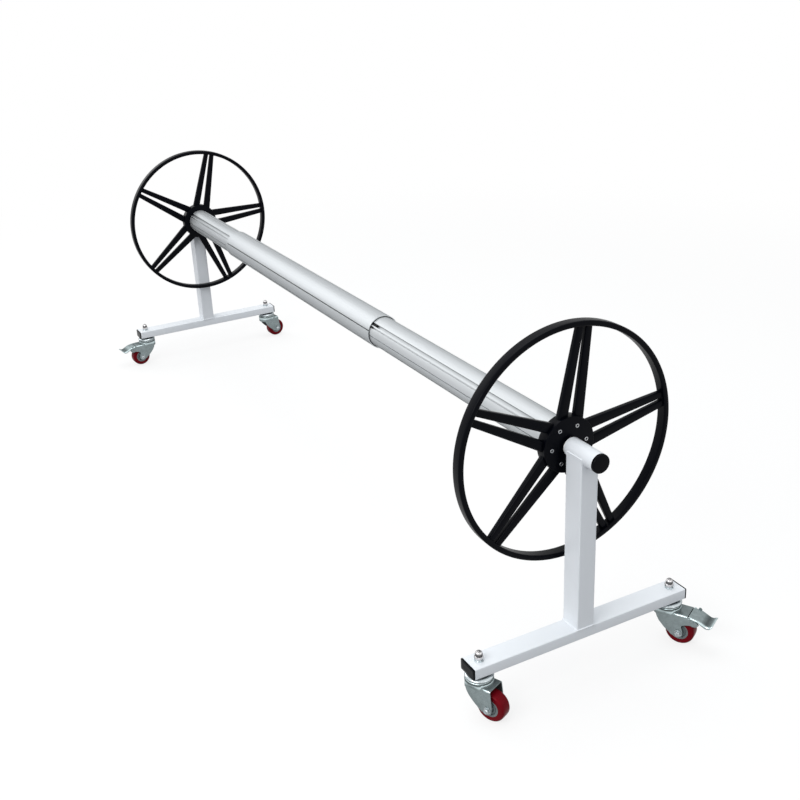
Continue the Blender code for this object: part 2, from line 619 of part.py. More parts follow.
def make_fork(name, parent, braked):
    """Top plate with the lower race on it, and two cheeks down to the wheel's axle."""
    reach = BRAKE_FORK_REACH if braked else FORK_REACH
    tangent = math.asin(FORK_WIDTH / 2 / CUP_RADIUS)
    plate = [(reach, -FORK_WIDTH / 2), (reach, FORK_WIDTH / 2)]
    steps = ROUND_FACETS // 2
    for step in range(steps + 1):
        angle = tangent + (2 * math.pi - 2 * tangent) * step / steps
        plate.append((CUP_RADIUS * math.cos(angle), CUP_RADIUS * math.sin(angle)))
    fork = make_object(f"{name}_fork", prism(plate, -FORK_UNDERSIDE_DROP, -FORK_TOP_DROP),
                       "zinc_plate", parent)
    foot = -FORK_TOP_DROP - GAP
    foot_top = RACE_FOOT_HEIGHT - FORK_TOP_DROP
    race = [(foot, 0), (foot, RACE_FOOT_RADIUS), (foot_top, RACE_FOOT_RADIUS),
            (foot_top + RACE_STEP, RACE_RADIUS), (-RACE_TOP_DROP, RACE_RADIUS), (-RACE_TOP_DROP, 0)]
    combine(fork, "UNION", turned(race, CUP_FACETS))
    cheek = cheek_outline(reach, braked)
    for low in (-FORK_WIDTH / 2, FORK_INNER):
        combine(fork, "UNION", prism(cheek, low, low + FORK_PLATE), rotation=ALONG_Y)
    stem = cylinder(STEM_RADIUS + 2 * GAP, -FORK_UNDERSIDE_DROP - FORK_PLATE, 0, SMALL_FACETS)
    combine(fork, "DIFFERENCE", stem)
    bolt = cylinder(AXLE_BOLT_RADIUS + GAP, -FORK_WIDTH, FORK_WIDTH, SMALL_FACETS)
    combine(fork, "DIFFERENCE", bolt, (CASTER_TRAIL, 0, -WHEEL_DROP), ALONG_Y)
    if braked:
        pin = cylinder(PEDAL_PIN_RADIUS + GAP, -FORK_WIDTH, FORK_WIDTH, SMALL_FACETS)
        combine(fork, "DIFFERENCE", pin, (PEDAL_PIN_X, 0, -PEDAL_PIN_DROP), ALONG_Y)


def cheek_outline(reach, braked):
    """Side view of a cheek; on a braked fork its front is an ear for the pedal's pin."""
    top = FORK_TOP_DROP + FORK_PLATE / 2
    rear = -CUP_RADIUS * math.cos(math.asin(FORK_WIDTH / 2 / CUP_RADIUS))
    eye = []
    for turn in CHEEK_EYE_ARC:
        angle = math.radians(turn)
        eye.append((CHEEK_EYE_X + CHEEK_EYE_RADIUS * math.cos(angle),
                    WHEEL_DROP - CHEEK_EYE_RADIUS * math.sin(angle)))
    front = EAR if braked else CHEEK_FRONT
    return side_view([(reach, top), (rear, top), *CHEEK_REAR, *eye, *front])


def make_axle_bolt(name, parent):
    """Axle through both cheeks, with its head and nut outside them."""
    half = FORK_WIDTH / 2 + GAP
    end = half + AXLE_BOLT_HEAD_LENGTH
    profile = [(-end, 0), (-end, AXLE_BOLT_HEAD_RADIUS), (-half, AXLE_BOLT_HEAD_RADIUS),
               (-half, AXLE_BOLT_RADIUS), (half, AXLE_BOLT_RADIUS),
               (half, AXLE_BOLT_HEAD_RADIUS), (end, AXLE_BOLT_HEAD_RADIUS), (end, 0)]
    make_object(f"{name}_axle_bolt", turned(profile, SMALL_FACETS), "zinc_plate", parent,
                (CASTER_TRAIL, 0, -WHEEL_DROP), ALONG_Y)


def make_wheel(name, parent):
    """Tyre with a flat tread, on a core with a thinner web and a boss between the cheeks."""
    facet = math.pi / TYRE_FACETS
    swell = 1 / math.cos(facet)
    half, tread = TYRE_WIDTH / 2, TYRE_TREAD / 2
    shoulder, sunk = TYRE_SHOULDER
    right = [(tread, TYRE_RADIUS), (shoulder, TYRE_RADIUS - sunk), (half, TYRE_RADIUS - TYRE_WALL_DROP),
             (half, CORE_RADIUS)]
    left = [(-height, radius) for height, radius in reversed(right)]
    profile = [(height, radius * swell) for height, radius in left + right]
    make_object(f"{name}_tyre", turned(profile, TYRE_FACETS, facet), "red_tyre", parent, rotation=ALONG_Y)

    boss = FORK_INNER - GAP
    rim = CORE_RADIUS - GAP
    lip = CORE_RADIUS - CORE_LIP
    bore = AXLE_BOLT_RADIUS + GAP
    right = [(boss, bore), (boss, CORE_BOSS_RADIUS), (CORE_WEB / 2, CORE_BOSS_RADIUS),
             (CORE_WEB / 2, lip), (half, lip), (half, rim)]
    left = [(-height, radius) for height, radius in reversed(right)]
    core = turned(right + left, CORE_FACETS)
    make_object(f"{name}_wheel_core", core, "grey_core", parent, rotation=ALONG_Y)


def make_pedal_pin(name, parent):
    half = FORK_WIDTH / 2 + GAP
    end = half + PEDAL_PIN_HEAD_LENGTH
    profile = [(-end, 0), (-end, PEDAL_PIN_HEAD_RADIUS), (-half, PEDAL_PIN_HEAD_RADIUS),
               (-half, PEDAL_PIN_RADIUS), (half, PEDAL_PIN_RADIUS),
               (half, PEDAL_PIN_HEAD_RADIUS), (end, PEDAL_PIN_HEAD_RADIUS), (end, 0)]
    make_object(f"{name}_pedal_pin", turned(profile, SMALL_FACETS), "zinc_plate", parent,
                (PEDAL_PIN_X, 0, -PEDAL_PIN_DROP), ALONG_Y)


def make_pedal(name, parent):
    """Bent plate with side walls, two skirts on the pin and a shoe; its frame is on the pin."""
    def view(points):
        return side_view(points, PEDAL_PIN_X, PEDAL_PIN_DROP)

    half = FORK_WIDTH / 2
    under = [(x, drop + PEDAL_PLATE) for x, drop in reversed(PEDAL_TOP)]
    pedal = make_object(f"{name}_brake_pedal", prism(view(PEDAL_TOP) + view(under), -half, half),
                        "zinc_plate", parent, rotation=ALONG_Y)
    for low in (-half, half - PEDAL_WALL):
        combine(pedal, "UNION", prism(view(PEDAL_FLANGE), low, low + PEDAL_WALL), rotation=ALONG_Y)
    inside = FORK_INNER - 2 * GAP
    for low in (-inside, inside - PEDAL_WALL):
        combine(pedal, "UNION", prism(view(PEDAL_SKIRT), low, low + PEDAL_WALL), rotation=ALONG_Y)
    combine(pedal, "UNION", prism(view(PEDAL_SHOE), -SHOE_WIDTH / 2, SHOE_WIDTH / 2), rotation=ALONG_Y)
    combine(pedal, "UNION", prism(view(PEDAL_TAB), -half, -half + PEDAL_WALL), rotation=ALONG_Y)
    hole = cylinder(PEDAL_PIN_RADIUS + GAP, -FORK_WIDTH, FORK_WIDTH, SMALL_FACETS)
    combine(pedal, "DIFFERENCE", hole, rotation=ALONG_Y)


def centre_on_footprint(root):
    """Moves the model so that the middle of its box is over the origin."""
    bpy.context.view_layer.update()
    graph = bpy.context.evaluated_depsgraph_get()
    xs, ys = [], []
    for item in bpy.data.objects:
        if item.type != "MESH" or item.hide_render:
            continue
        shape = item.evaluated_get(graph)
        for vertex in shape.data.vertices:
            point = shape.matrix_world @ vertex.co
            xs.append(point.x)
            ys.append(point.y)
    root.location = Vector((-(min(xs) + max(xs)) / 2, -(min(ys) + max(ys)) / 2, 0))
    bpy.context.view_layer.update()


def main():
    clear_scene()
    make_materials()
    root = make_empty("pool_cover_reel", None)

    near_reel = make_empty("near_reel", root, (0, 0, AXLE_HEIGHT))
    sleeve = make_empty("sleeve", near_reel)
    far_reel = make_empty("far_reel", sleeve)
    make_inner_tube("near", near_reel, 1, NEAR_TUBE_LENGTH)
    make_inner_tube("far", far_reel, -1, FAR_TUBE_LENGTH)
    make_sleeve(sleeve)
    ends = (("near", 1, near_reel, NEAR_WHEEL_TURN), ("far", -1, far_reel, FAR_WHEEL_TURN))
    for end, side, reel, turn in ends:
        make_handwheel(end, reel, side, turn)
        make_axle(end, reel, side)

    for end, side in (("near", 1), ("far", -1)):
        stand = make_empty(f"{end}_stand", root, (side * STAND_X, 0, 0))
        make_stand(end, stand, side)
        for name, hand in (("left", -1), ("right", 1)):
            turn, braked = CASTERS[f"{end}_{name}"]
            make_caster(f"{end}_{name}", stand, hand, turn, braked)

    centre_on_footprint(root)


main()
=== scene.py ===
"""Looks of a pool cover reel: each solid of the model gets its finished form and material.

Metres, +Z up, the floor at Z = 0. The reel turns about a line along X, and the near end is
the +X end. Sizes are those of the solids that a piece stands for.
"""

import json
from math import asin, atan2, ceil, copysign, cos, degrees, pi, radians, sin, sqrt, tan, tau

import bmesh
import bpy
from mathutils import Matrix, Vector


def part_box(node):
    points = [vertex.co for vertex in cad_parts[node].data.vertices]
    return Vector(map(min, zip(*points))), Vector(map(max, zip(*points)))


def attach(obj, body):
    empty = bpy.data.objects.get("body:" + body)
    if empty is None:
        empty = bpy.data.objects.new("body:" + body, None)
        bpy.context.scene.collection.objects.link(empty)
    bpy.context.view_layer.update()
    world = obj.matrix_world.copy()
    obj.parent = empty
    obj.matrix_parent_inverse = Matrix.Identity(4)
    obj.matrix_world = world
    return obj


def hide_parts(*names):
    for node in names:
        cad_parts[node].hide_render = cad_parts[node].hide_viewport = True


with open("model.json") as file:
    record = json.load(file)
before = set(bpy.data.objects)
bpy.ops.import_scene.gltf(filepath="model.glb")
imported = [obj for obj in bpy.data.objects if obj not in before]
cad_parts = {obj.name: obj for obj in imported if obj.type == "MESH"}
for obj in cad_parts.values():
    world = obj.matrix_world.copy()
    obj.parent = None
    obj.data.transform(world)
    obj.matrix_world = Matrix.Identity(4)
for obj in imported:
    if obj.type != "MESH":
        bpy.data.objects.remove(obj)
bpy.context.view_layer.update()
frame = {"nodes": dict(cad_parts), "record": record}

# Camera of the photograph, beside the middle of the reel's footprint
CAMERA_PLACE = (3.2429, -1.4030, 1.7595)
CAMERA_AZIMUTH = 1.0967
CAMERA_ELEVATION = 0.4083
CAMERA_ROLL = -0.0488
CAMERA_LENS = 48.58
CAMERA_SENSOR = 36
CAMERA_REACH = 50
CAMERA_NUDGE = (-0.00034, 0.00009)

# Light of the room, of the floor on what stands over it, and of the floor itself
WORLD_LIGHT = 0.72
WORLD_COLOUR = (0.95, 0.98, 1.0)
FLOOR_BOUNCE = (0.15, 0.15, 0.16)
FLOOR_COLOUR = (0.9, 0.9, 0.9)
FLOOR_GLOW = 0.78
FLOOR_FADE = (1.6, 5.0)
FLOOR_DROP = 0.0002
FLOOR_REACH = 40

# Lamps: name, place, the point they face, size and power
LAMPS = (
    ("ceiling", (-0.3, 0.25, 4.2), (0, 0, 0), (2.8, 2.4), 52),
    ("window", (2.3, -3.25, 2.75), (0.7, 0, 0.35), (3.0, 1.3), 85),
    ("front", (5.2, 0.6, 1.9), (1.4, 0, 0.4), (1.2, 1.2), 8),
    ("back", (-4.3, -1.5, 2.7), (-0.2, 0, 0.5), (3.6, 3.6), 60),
)

# Play between pieces that fit each other, and between pieces that slide
GAP = 0.0003
SLIDE_GAP = 0.0004
KEY_GAP = 0.0002

# Inner tubes and sleeve: a feature of an outline is (degrees round the axis, width, depth)
TUBE_RADIUS = 0.048
TUBE_WALL = 0.0025
TUBE_STEP = 2.5
SLEEVE_RADIUS = 0.053
MOUTH_EDGE = 0.0004
CHANNEL = (134, 0.009, 0.007)
GROOVE = (147.5, 0.0034, 0.0044)
TUBE_LINE = (181, 0.0032, 0.0040)
SLEEVE_LINE = (163.5, 0.0040, 0.0036)
GROOVE_SKIN = 0.0007
GROOVE_CORNER = 0.0006
SHOULDER = 0.02

# Guide rings of the sleeve, each of two halves, and their keys and pads
RING_STARTS = (4, 184)
RING_SWEEP = 172
RING_SETBACK = 0.0012
RING_CORNER = 0.0004
GUIDE_PAD = (147.5, 0.0075, -0.0016)
KEY_LENGTH = 0.026
PAD_LENGTH = 0.013
KEY_ROOT = 0.004

# Handwheels
WHEEL_RADIUS = 0.306
RIM_THICKNESS = 0.0145
RIM_DEPTH = 0.030
RIM_CORNER = 0.005
HUB_RADIUS = 0.072
HUB_DEPTH = 0.031
HUB_CORNER = 0.0012
SPOKE_DEPTH = 0.016
SPOKE_CORNER = 0.0048
SPOKE_ROOT = 0.0145
SPOKE_PAIRS = 5
SPOKE_STEPS = 8
PAIR_WIDTH = (0.073, 0.043)
SLIT_WIDTH = (0.019, 0.007)
WHEEL_TURN = {"near": 9, "far": 2.7}
HUB_SCREWS = 6
HUB_SCREW_CIRCLE = 0.050
HUB_SCREW_TURN = 3.5
HUB_SCREW = ((-0.0012, 0), (-0.0012, 0.0026, 0.0003), (0.0006, 0.0030, 0.0004),
             (0.0006, 0.0050, 0.0006), (-0.001, 0.0054))

# Axle and bearing
AXLE_RADIUS = 0.015
BEARING_RADIUS = 0.0242
BEARING_WALL = 0.003
BEARING_INBOARD = 0.040
BEARING_OUTBOARD = 0.0635
CAP_HEAD = 0.009
CAP_CROWN = 0.0045
CAP_SPIGOT = 0.010
BUSH_BORE = 0.0155
FLANGE_RADIUS = 0.023
FLANGE_DEPTH = 0.003

# Stands
BEAM_LENGTH = 0.645
BEAM_WIDTH = 0.060
BEAM_HEIGHT = 0.030
BEAM_CORNER = 0.003
BEAM_CAP_HEAD = 0.0036
BEAM_CAP_FIELD = 0.010
BEAM_CAP_RELIEF = (0.0004, 0.0002)
BEAM_PLUG_INSET = 0.0056
BEAM_PLUG_DEPTH = 0.012
STEEL_WALL = 0.0025
HOLLOW_CORNER = 0.0008
POST_X = 0.060
POST_Y = 0.050
BEAM_BOTTOM = 0.1235
BEAM_TOP = BEAM_BOTTOM + BEAM_HEIGHT
AXLE_HEIGHT = BEAM_TOP + 0.473
CASTER_SPACING = 0.587
SEAM_STEP = 0.0012
SEAM_LIFT = 0.0006
FOOT_BEAD = 0.0022
SADDLE_BEAD = 0.0018
BEAD_RIPPLE = 0.12
BEAD_WAVE = 5

# Casters: the turn of the trail and whether there is a brake; Z is measured from the beam's
# underside, X from the stem along the trail, and a side view is drawn as (x, drop)
CASTERS = {
    "near_left": (24.5, False),
    "near_right": (30, True),
    "far_left": (-84, True),
    "far_right": (98, False),
}
TRAIL = 0.0395
WHEEL_DROP = 0.0845
TYRE_RADIUS = 0.039
CORE_RADIUS = 0.0238
CUP_RADIUS = 0.036
CUP_STEPS = 96
STEM_HOLE = 0.0063
HEXAGON_STEPS = 48
CHAMFER_HEIGHT = 0.6
CHAMFER_REACH = 0.985
NUT_TURN = 0.2
DOME_RADIUS = 0.0094
DOME_WAIST = 0.0178

# Fork
FORK_WIDTH = 0.055
FORK_PLATE = 0.0028
FORK_RIM = 0.0005
FORK_TOP = -0.027
FORK_BEND = 0.0050
FORK_REACH = {False: 0.0475, True: 0.0617}
BEND_STATIONS = (0.026, 0.034)
CHEEK_REAR = ((-0.0235, 0.037), (-0.0205, 0.048), (-0.0135, 0.0605), (0.0, 0.0755), (0.021, 0.0930))
CHEEK_EYE = (0.0368, 0.0145)
CHEEK_FRONT = ((0.0520, 0.075), (0.0503, 0.056))
EAR = ((0.0502, 0.075), (0.0472, 0.067), (0.0465, 0.0605), (0.0500, 0.0580), (0.0560, 0.0553),
       (0.0715, 0.0512), (0.0745, 0.0537), (0.0860, 0.0522), (0.0925, 0.0445), (0.0910, 0.0425),
       (0.0780, 0.0340))

# Lower race: (height, radius) of its rings in front; beside, (height, radius, share of the way
# out to the cheek's plane) and how far they stand proud of that plane
RACE_STEPS = 120
RACE_WALL = 0.0024
RACE_FRONT = ((-0.0140, 0.0322), (-0.0147, 0.0336), (-0.0158, 0.0342), (-0.0176, 0.0342),
              (-0.0184, 0.0326), (-0.0192, 0.0328), (-0.0199, 0.0352), (-0.0212, 0.0361),
              (-0.0238, 0.0362), (-0.0248, 0.0345), (-0.0258, 0.0350), (-0.0278, 0.0374))
RACE_BESIDE = ((-0.0140, 0.0322, 0), (-0.0146, 0.0338, 0), (-0.0158, 0.0350, 0), (-0.0176, 0.0358, 0),
               (-0.0196, 0.0362, 0.02), (-0.0218, 0.0362, 0.08), (-0.0242, 0.0361, 0.20),
               (-0.0268, 0.0360, 0.38), (-0.0296, 0.0360, 0.60), (-0.0328, 0.0360, 0.80),
               (-0.0366, 0.0360, 0.94), (-0.0410, 0.0360, 1.0))
RACE_PROUD = (0.0002,) * 10 + (0.0, -0.0010)
CHEEK_START = 0.70
CHEEK_RUN = 0.12

# Pedal
PIN = (0.073, 0.038)
EYELET = (0.0668, 0.0305)
PEDAL_TOP = ((0.0638, 0.0277), (0.072, 0.0286), (0.088, 0.031), (0.098, 0.035),
             (0.109, 0.041), (0.116, 0.0425), (0.121, 0.0405), (0.127, 0.0375))
PEDAL_RIM = ((0.0638, 0.0331), (0.080, 0.0332), (0.087, 0.0362), (0.092, 0.0392), (0.096, 0.042),
             (0.104, 0.0465), (0.110, 0.0490), (0.118, 0.0485), (0.1248, 0.0440), (0.127, 0.0415))
PEDAL_SKIRT = ((0.0628, 0.029), (0.0635, 0.044), (0.068, 0.049), (0.084, 0.049), (0.091, 0.042),
               (0.091, 0.033))
PEDAL_SHOE = ((0.0665, 0.0295), (0.0665, 0.0539), (0.071, 0.058), (0.078, 0.052), (0.078, 0.031))
PEDAL_TAB = ((0.0745, 0.030), (0.0755, 0.0265), (0.078, 0.025), (0.082, 0.026), (0.086, 0.032))
PEDAL_BEND = 0.0075
PEDAL_PLATE = 0.0028
PEDAL_WALL = 0.0024
PEDAL_TIP = (0.122, 0.005, 0.0022)
SHOE_WIDTH = 0.024
PLATE_EDGE = 0.0006
PLATE_CORNER = 0.0015

# Painted light and tone, which lighten a finish above 0 and darken it below: bends, rims and eyelets carry
# painted highlights, grooves, hollows and the cup's neck carry painted shade, a dome carries a painted
# reflection of the dark floor line at its waist, and washers are a lighter tone
DEEP = 0.003
SLEEVE_GROOVE_SHADE = ((0, -0.74), (180, -0.74))
TUBE_GROOVE_SHADE = ((0, 0), (120, 0), (121, -0.38), (134, -0.38), (134.1, 0), (143, 0), (144, -0.15),
             (155, -0.15), (156, 0), (180, 0))
WASHER_SHINE = 0.75
HEXAGON_HIGHLIGHT = 0.5
EYELET_HIGHLIGHT = 0.6
HOLE_SHADE = -0.44
BEND_PAINTED_LIGHT = (-0.1, 0, 0.3, 0.9, 0.8, 0.2, 0)
DOME_REFLECTION = ((-1, -0.3), (0.0, -0.42), (0.15, -0.38), (0.32, 0.15), (0.5, 0.75), (0.68, 0.6),
              (0.84, 0.0), (0.94, -0.15), (1.1, -0.15))
CUP_PAINTED_LIGHT = ((0, -0.9), (3, -0.8), (5, -0.1), (8, 0.6), (11, 0.5), (14, -0.5))
NECK_SHADE = -0.6
LIP_SHADE = -0.5
RACE_PAINTED_LIGHT = (0, 0.3, 0.6, 0.2, -0.25, -0.45, -0.3, 0.2, 0.6, 0.4, -0.4, -0.35, 0.1, 0)
SHOULDER_PAINTED_LIGHT = (0, 0.3, 0.6, 0.5, -0.3, -0.3, 0.1, 0.7, 0.9, 0.5, 0.1, 0, 0, 0)
PEDAL_PAINTED_LIGHT = ((0.0638, 0.12), (0.085, 0.12), (0.097, 0.12), (0.1005, -0.16), (0.110, -0.18),
               (0.117, -0.08), (0.121, 0.12), (0.125, 0.25), (0.127, 0.8))

# Mesh and material
ON_AXIS = 1e-7
WELD_DISTANCE = 1e-6
NOISE_SPAN = (0.3, 0.7)

# Places read from the solids
beam_boxes = {end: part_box(f"{end}_base_beam") for end in ("near", "far")}
STAND_X = {end: (low.x + high.x) / 2 for end, (low, high) in beam_boxes.items()}
CENTRE_Y = (beam_boxes["near"][0].y + beam_boxes["near"][1].y) / 2
SIDE = {"near": 1, "far": -1}
ALONG_X = Matrix(((0, 0, 1, 0), (1, 0, 0, 0), (0, 1, 0, 0), (0, 0, 0, 1)))
ALONG_Y = Matrix.Rotation(pi / 2, 4, "X")


def on_axis(x=0.0):
    """Frame on the reel's axis at x, its own Z along X and its own X along Y."""
    return Matrix.Translation((x, CENTRE_Y, AXLE_HEIGHT)) @ ALONG_X


def on_stand(end, y=0.0, z=0.0):
    """Frame at y along the stand's beam from its middle, raised to z."""
    return Matrix.Translation((STAND_X[end], CENTRE_Y + y, z))


def on_caster(name):
    """Frame at a caster's stem, under the beam, its X along the trail."""
    end, side = name.split("_")
    hand = -1 if side == "left" else 1
    turn = radians(CASTERS[name][0])
    place = on_stand(end, hand * CASTER_SPACING / 2, BEAM_BOTTOM)
    return place @ Matrix.Rotation(turn, 4, "Z")


def across(x, drop):
    """Frame at a point of a caster's side view, its own Z across the fork."""
    return Matrix.Translation((x, 0, -drop)) @ ALONG_Y


# Shapes

def rounded(points, steps, closed=True):
    """A polyline of (x, y) or (x, y, radius) points with its corners rounded."""
    result = []
    count = len(points)
    for index, point in enumerate(points):
        here = Vector(point[:2])
        radius = point[2] if len(point) > 2 else 0
        if radius <= 0 or (not closed and index in (0, count - 1)):
            result.append(tuple(here))
            continue
        before = Vector(points[index - 1][:2]) - here
        after = Vector(points[(index + 1) % count][:2]) - here
        half = before.angle(after) / 2
        reach = min(radius / max(tan(half), 1e-6), before.length * 0.49, after.length * 0.49)
        start = here + before.normalized() * reach
        stop = here + after.normalized() * reach
        for step in range(steps + 1):
            share = step / steps
            blend = start.lerp(here, share).lerp(here.lerp(stop, share), share)
            result.append(tuple(blend))
    return result


def with_radius(points, radius):
    return [(x, y, radius) for x, y in points]


def polar(radius, turn, *height):
    """Point at a radius and a turn round Z."""
    return (radius * cos(turn), radius * sin(turn), *height)


def spun(x, y, turn, *height):
    """Point (x, y) turned about Z."""
    return (x * cos(turn) - y * sin(turn), x * sin(turn) + y * cos(turn), *height)


def rectangle(width, height, corner, steps=5):
    x, y = width / 2, height / 2
    return rounded(with_radius([(x, y), (-x, y), (-x, -y), (x, -y)], corner), steps)


def turned(profile, segments, steps=0, ring=False, start=0.0, sweep=tau):
    """A body turned about Z through (height, radius) points.

    With steps, the profile's corners are rounded first; ring closes it on itself.
    """
    if steps:
        profile = rounded(profile, steps, closed=ring)
    bm = bmesh.new()
    whole = sweep >= tau
    stations = segments if whole else segments + 1
    turns = [start + sweep * step / segments for step in range(stations)]
    rows = []
    for height, radius in profile:
        if radius < ON_AXIS:
            rows.append([bm.verts.new((0, 0, height))])
            continue
        rows.append([bm.verts.new(polar(radius, turn, height)) for turn in turns])
    pairs = list(zip(rows, rows[1:]))
    if ring:
        pairs.append((rows[-1], rows[0]))
    for below, above in pairs:
        for step in range(segments):
            after = (step + 1) % stations
            corners = [below[step % len(below)], below[after % len(below)],
                       above[after % len(above)], above[step % len(above)]]
            corners = list(dict.fromkeys(corners))
            if len(corners) > 2:
                bm.faces.new(corners)
    if not whole:
        bm.faces.new([row[0] for row in rows])
        bm.faces.new([row[-1] for row in rows])
    return bm


def loft(sections, closed=False):
    """Skin over sections of as many 3-D points each, its two ends first.

    closed joins the last section to the first instead of capping them.
    """
    bm = bmesh.new()
    rows = [[bm.verts.new(point) for point in section] for section in sections]
    pairs = list(zip(rows, rows[1:]))
    if closed:
        pairs.append((rows[-1], rows[0]))
    else:
        bm.faces.new(rows[0][::-1])
        bm.faces.new(rows[-1])
    for below, above in pairs:
        for index in range(len(below)):
            after = (index + 1) % len(below)
            bm.faces.new((below[index], below[after], above[after], above[index]))
    return bm


def plate(outline, low, high, edge=0.0, steps=2):
    """A flat outline given thickness along Z, its rims rounded by edge."""
    bm = loft([[(x, y, z) for x, y in outline] for z in (low, high)])
    if edge > 0:
        bm.faces.ensure_lookup_table()
        rims = dict.fromkeys(rim for face in bm.faces[:2] for rim in face.edges)
        bmesh.ops.bevel(bm, geom=list(rims), offset=edge, segments=steps, profile=0.5,
                        affect="EDGES", clamp_overlap=True)
    return bm


def pipe(outer, inner, low, high, edge=0.0):
    """A hollow extrusion from two outlines with matching points, its outer rims cut by edge."""
    loops = [(inner, low), (outer, low), (outer, high), (inner, high)]
    if edge > 0:
        drawn = [tuple(Vector(point) * (1 - edge / Vector(point).length)) for point in outer]
        loops = [(inner, low), (drawn, low), (outer, low + edge), (outer, high - edge),
                 (drawn, high), (inner, high)]
    return loft([[(x, y, z) for x, y in outline] for outline, z in loops], closed=True)


def bead(path, radius):
    """A closed weld bead along 3-D points, with the ripples of its run."""
    sections = []
    count = len(path)
    for index, point in enumerate(path):
        here = Vector(point)
        run = (Vector(path[(index + 1) % count]) - Vector(path[index - 1])).normalized()
        side = run.cross(Vector((0, 0, 1)))
        side = side.normalized() if side.length > 1e-4 else Vector((1, 0, 0))
        up = side.cross(run)
        size = radius * (1 + BEAD_RIPPLE * sin(index * tau / BEAD_WAVE))
        sections.append([here + (side * cos(turn) + up * sin(turn)) * size
                         for turn in (pi * k / 5 for k in range(10))])
    return loft(sections, closed=True)


def meshed(name, bm):
    mesh = bpy.data.meshes.new(name)
    bm.to_mesh(mesh)
    bm.free()
    return mesh


def merged(*parts):
    """One mesh from several, which may cross."""
    whole = parts[0]
    for part in parts[1:]:
        spare = meshed("spare", part)
        whole.from_mesh(spare)
        bpy.data.meshes.remove(spare)
    return whole


def moved(bm, matrix):
    bm.transform(matrix)
    return bm


def along(points, x):
    """Height of a polyline of (x, height) at x."""
    for (x0, y0), (x1, y1) in zip(points, points[1:]):
        if x <= x1:
            return y0 + (y1 - y0) * (x - x0) / (x1 - x0)
    return points[-1][1]


def paint_tone_and_light(bm, values):
    """Give each vertex its value of painted light and tone, in the order in which the vertices were made."""
    tone_and_painted_light = bm.verts.layers.float.new("tone_and_painted_light")
    for vert, value in zip(bm.verts, values):
        vert[tone_and_painted_light] = value
    return bm


def placed(name, data, place):
    item = bpy.data.objects.new(name, data)
    bpy.context.scene.collection.objects.link(item)
    item.matrix_world = place
    return item


def piece(name, bm, look, body, place=Matrix(), stands_for=(), sharp=38, finish=None):
    """An object that rides on a body, and that may stand for solids of the model."""
    bmesh.ops.remove_doubles(bm, verts=bm.verts, dist=WELD_DISTANCE)
    bmesh.ops.recalc_face_normals(bm, faces=bm.faces)
    mesh = meshed(name, bm)
    mesh.shade_smooth()
    mesh.set_sharp_from_angle(angle=radians(sharp))
    mesh.materials.append(looks[finish or look])
    item = placed(name, mesh, place)
    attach(item, body)
    if stands_for:
        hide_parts(*stands_for)
    return item


# Materials

def add_node(tree, kind, inputs, operation=None):
    """A new node; each input is set to a value or linked to the socket given for it."""
    node = tree.nodes.new(kind)
    if operation:
        node.operation = operation
    for name, value in inputs.items():
        if isinstance(value, bpy.types.NodeSocket):
            tree.links.new(value, node.inputs[name])
        else:
            node.inputs[name].default_value = value
    return node


def make_look(name, colour, roughness, metallic=0.0, stretch=(1, 1, 1), grain=(900, 0.0), broad=8,
              tint=0.03, polish=0.05, specular=0.5, edge_tint=(1, 1, 1), tone_and_light_gain=0.0):
    """A finish whose colour and roughness drift a little, with a fine grain in its surface.

    grain is the scale and height of the grain, and broad the scale of the colour's drift. tint and polish
    say how far colour and roughness drift. Where the mesh has a value of painted light and tone, the colour
    grows lighter by the given gain times that value, and darker where it is below 0.
    """
    material = bpy.data.materials.new(name)
    material.use_nodes = True
    tree = material.node_tree
    place = tree.nodes.new("ShaderNodeTexCoord")
    mapping = add_node(tree, "ShaderNodeMapping", {"Vector": place.outputs["Object"], "Scale": stretch})
    drift, fine = (add_node(tree, "ShaderNodeTexNoise", {"Vector": mapping.outputs["Vector"],
                                                         "Scale": scale, "Detail": detail})
                   for scale, detail in ((broad, 4), (grain[0], 3)))
    tone = add_node(tree, "ShaderNodeValToRGB", {"Fac": drift.outputs["Fac"]})
    dark, light = tone.color_ramp.elements
    dark.position, light.position = NOISE_SPAN
    dark.color = [value * (1 - tint) for value in colour] + [1]
    light.color = [min(1, value * (1 + tint)) for value in colour] + [1]
    base = tone.outputs["Color"]
    # Painted light and tone: the mesh's value scales the colour, painting highlights and shade
    if tone_and_light_gain:
        tone_and_painted_light = tree.nodes.new("ShaderNodeAttribute")
        tone_and_painted_light.attribute_name = "tone_and_painted_light"
        gain = add_node(tree, "ShaderNodeMath", {0: tone_and_painted_light.outputs["Fac"], 1: tone_and_light_gain, 2: 1.0}, "MULTIPLY_ADD")
        shade = add_node(tree, "ShaderNodeVectorMath", {0: base, "Scale": gain.outputs[0]}, "SCALE")
        base = shade.outputs["Vector"]
    gloss = add_node(tree, "ShaderNodeMapRange", {
        "Value": fine.outputs["Fac"], "From Min": NOISE_SPAN[0], "From Max": NOISE_SPAN[1],
        "To Min": roughness - polish, "To Max": roughness + polish})
    bump = add_node(tree, "ShaderNodeBump", {"Height": fine.outputs["Fac"], "Strength": 1.0,
                                             "Distance": grain[1]})
    shader = tree.nodes["Principled BSDF"].inputs
    shader["Metallic"].default_value = metallic
    shader["Specular IOR Level"].default_value = specular
    shader["Specular Tint"].default_value = (*edge_tint, 1)
    tree.links.new(base, shader["Base Color"])
    tree.links.new(gloss.outputs["Result"], shader["Roughness"])
    tree.links.new(bump.outputs["Normal"], shader["Normal"])
    return material


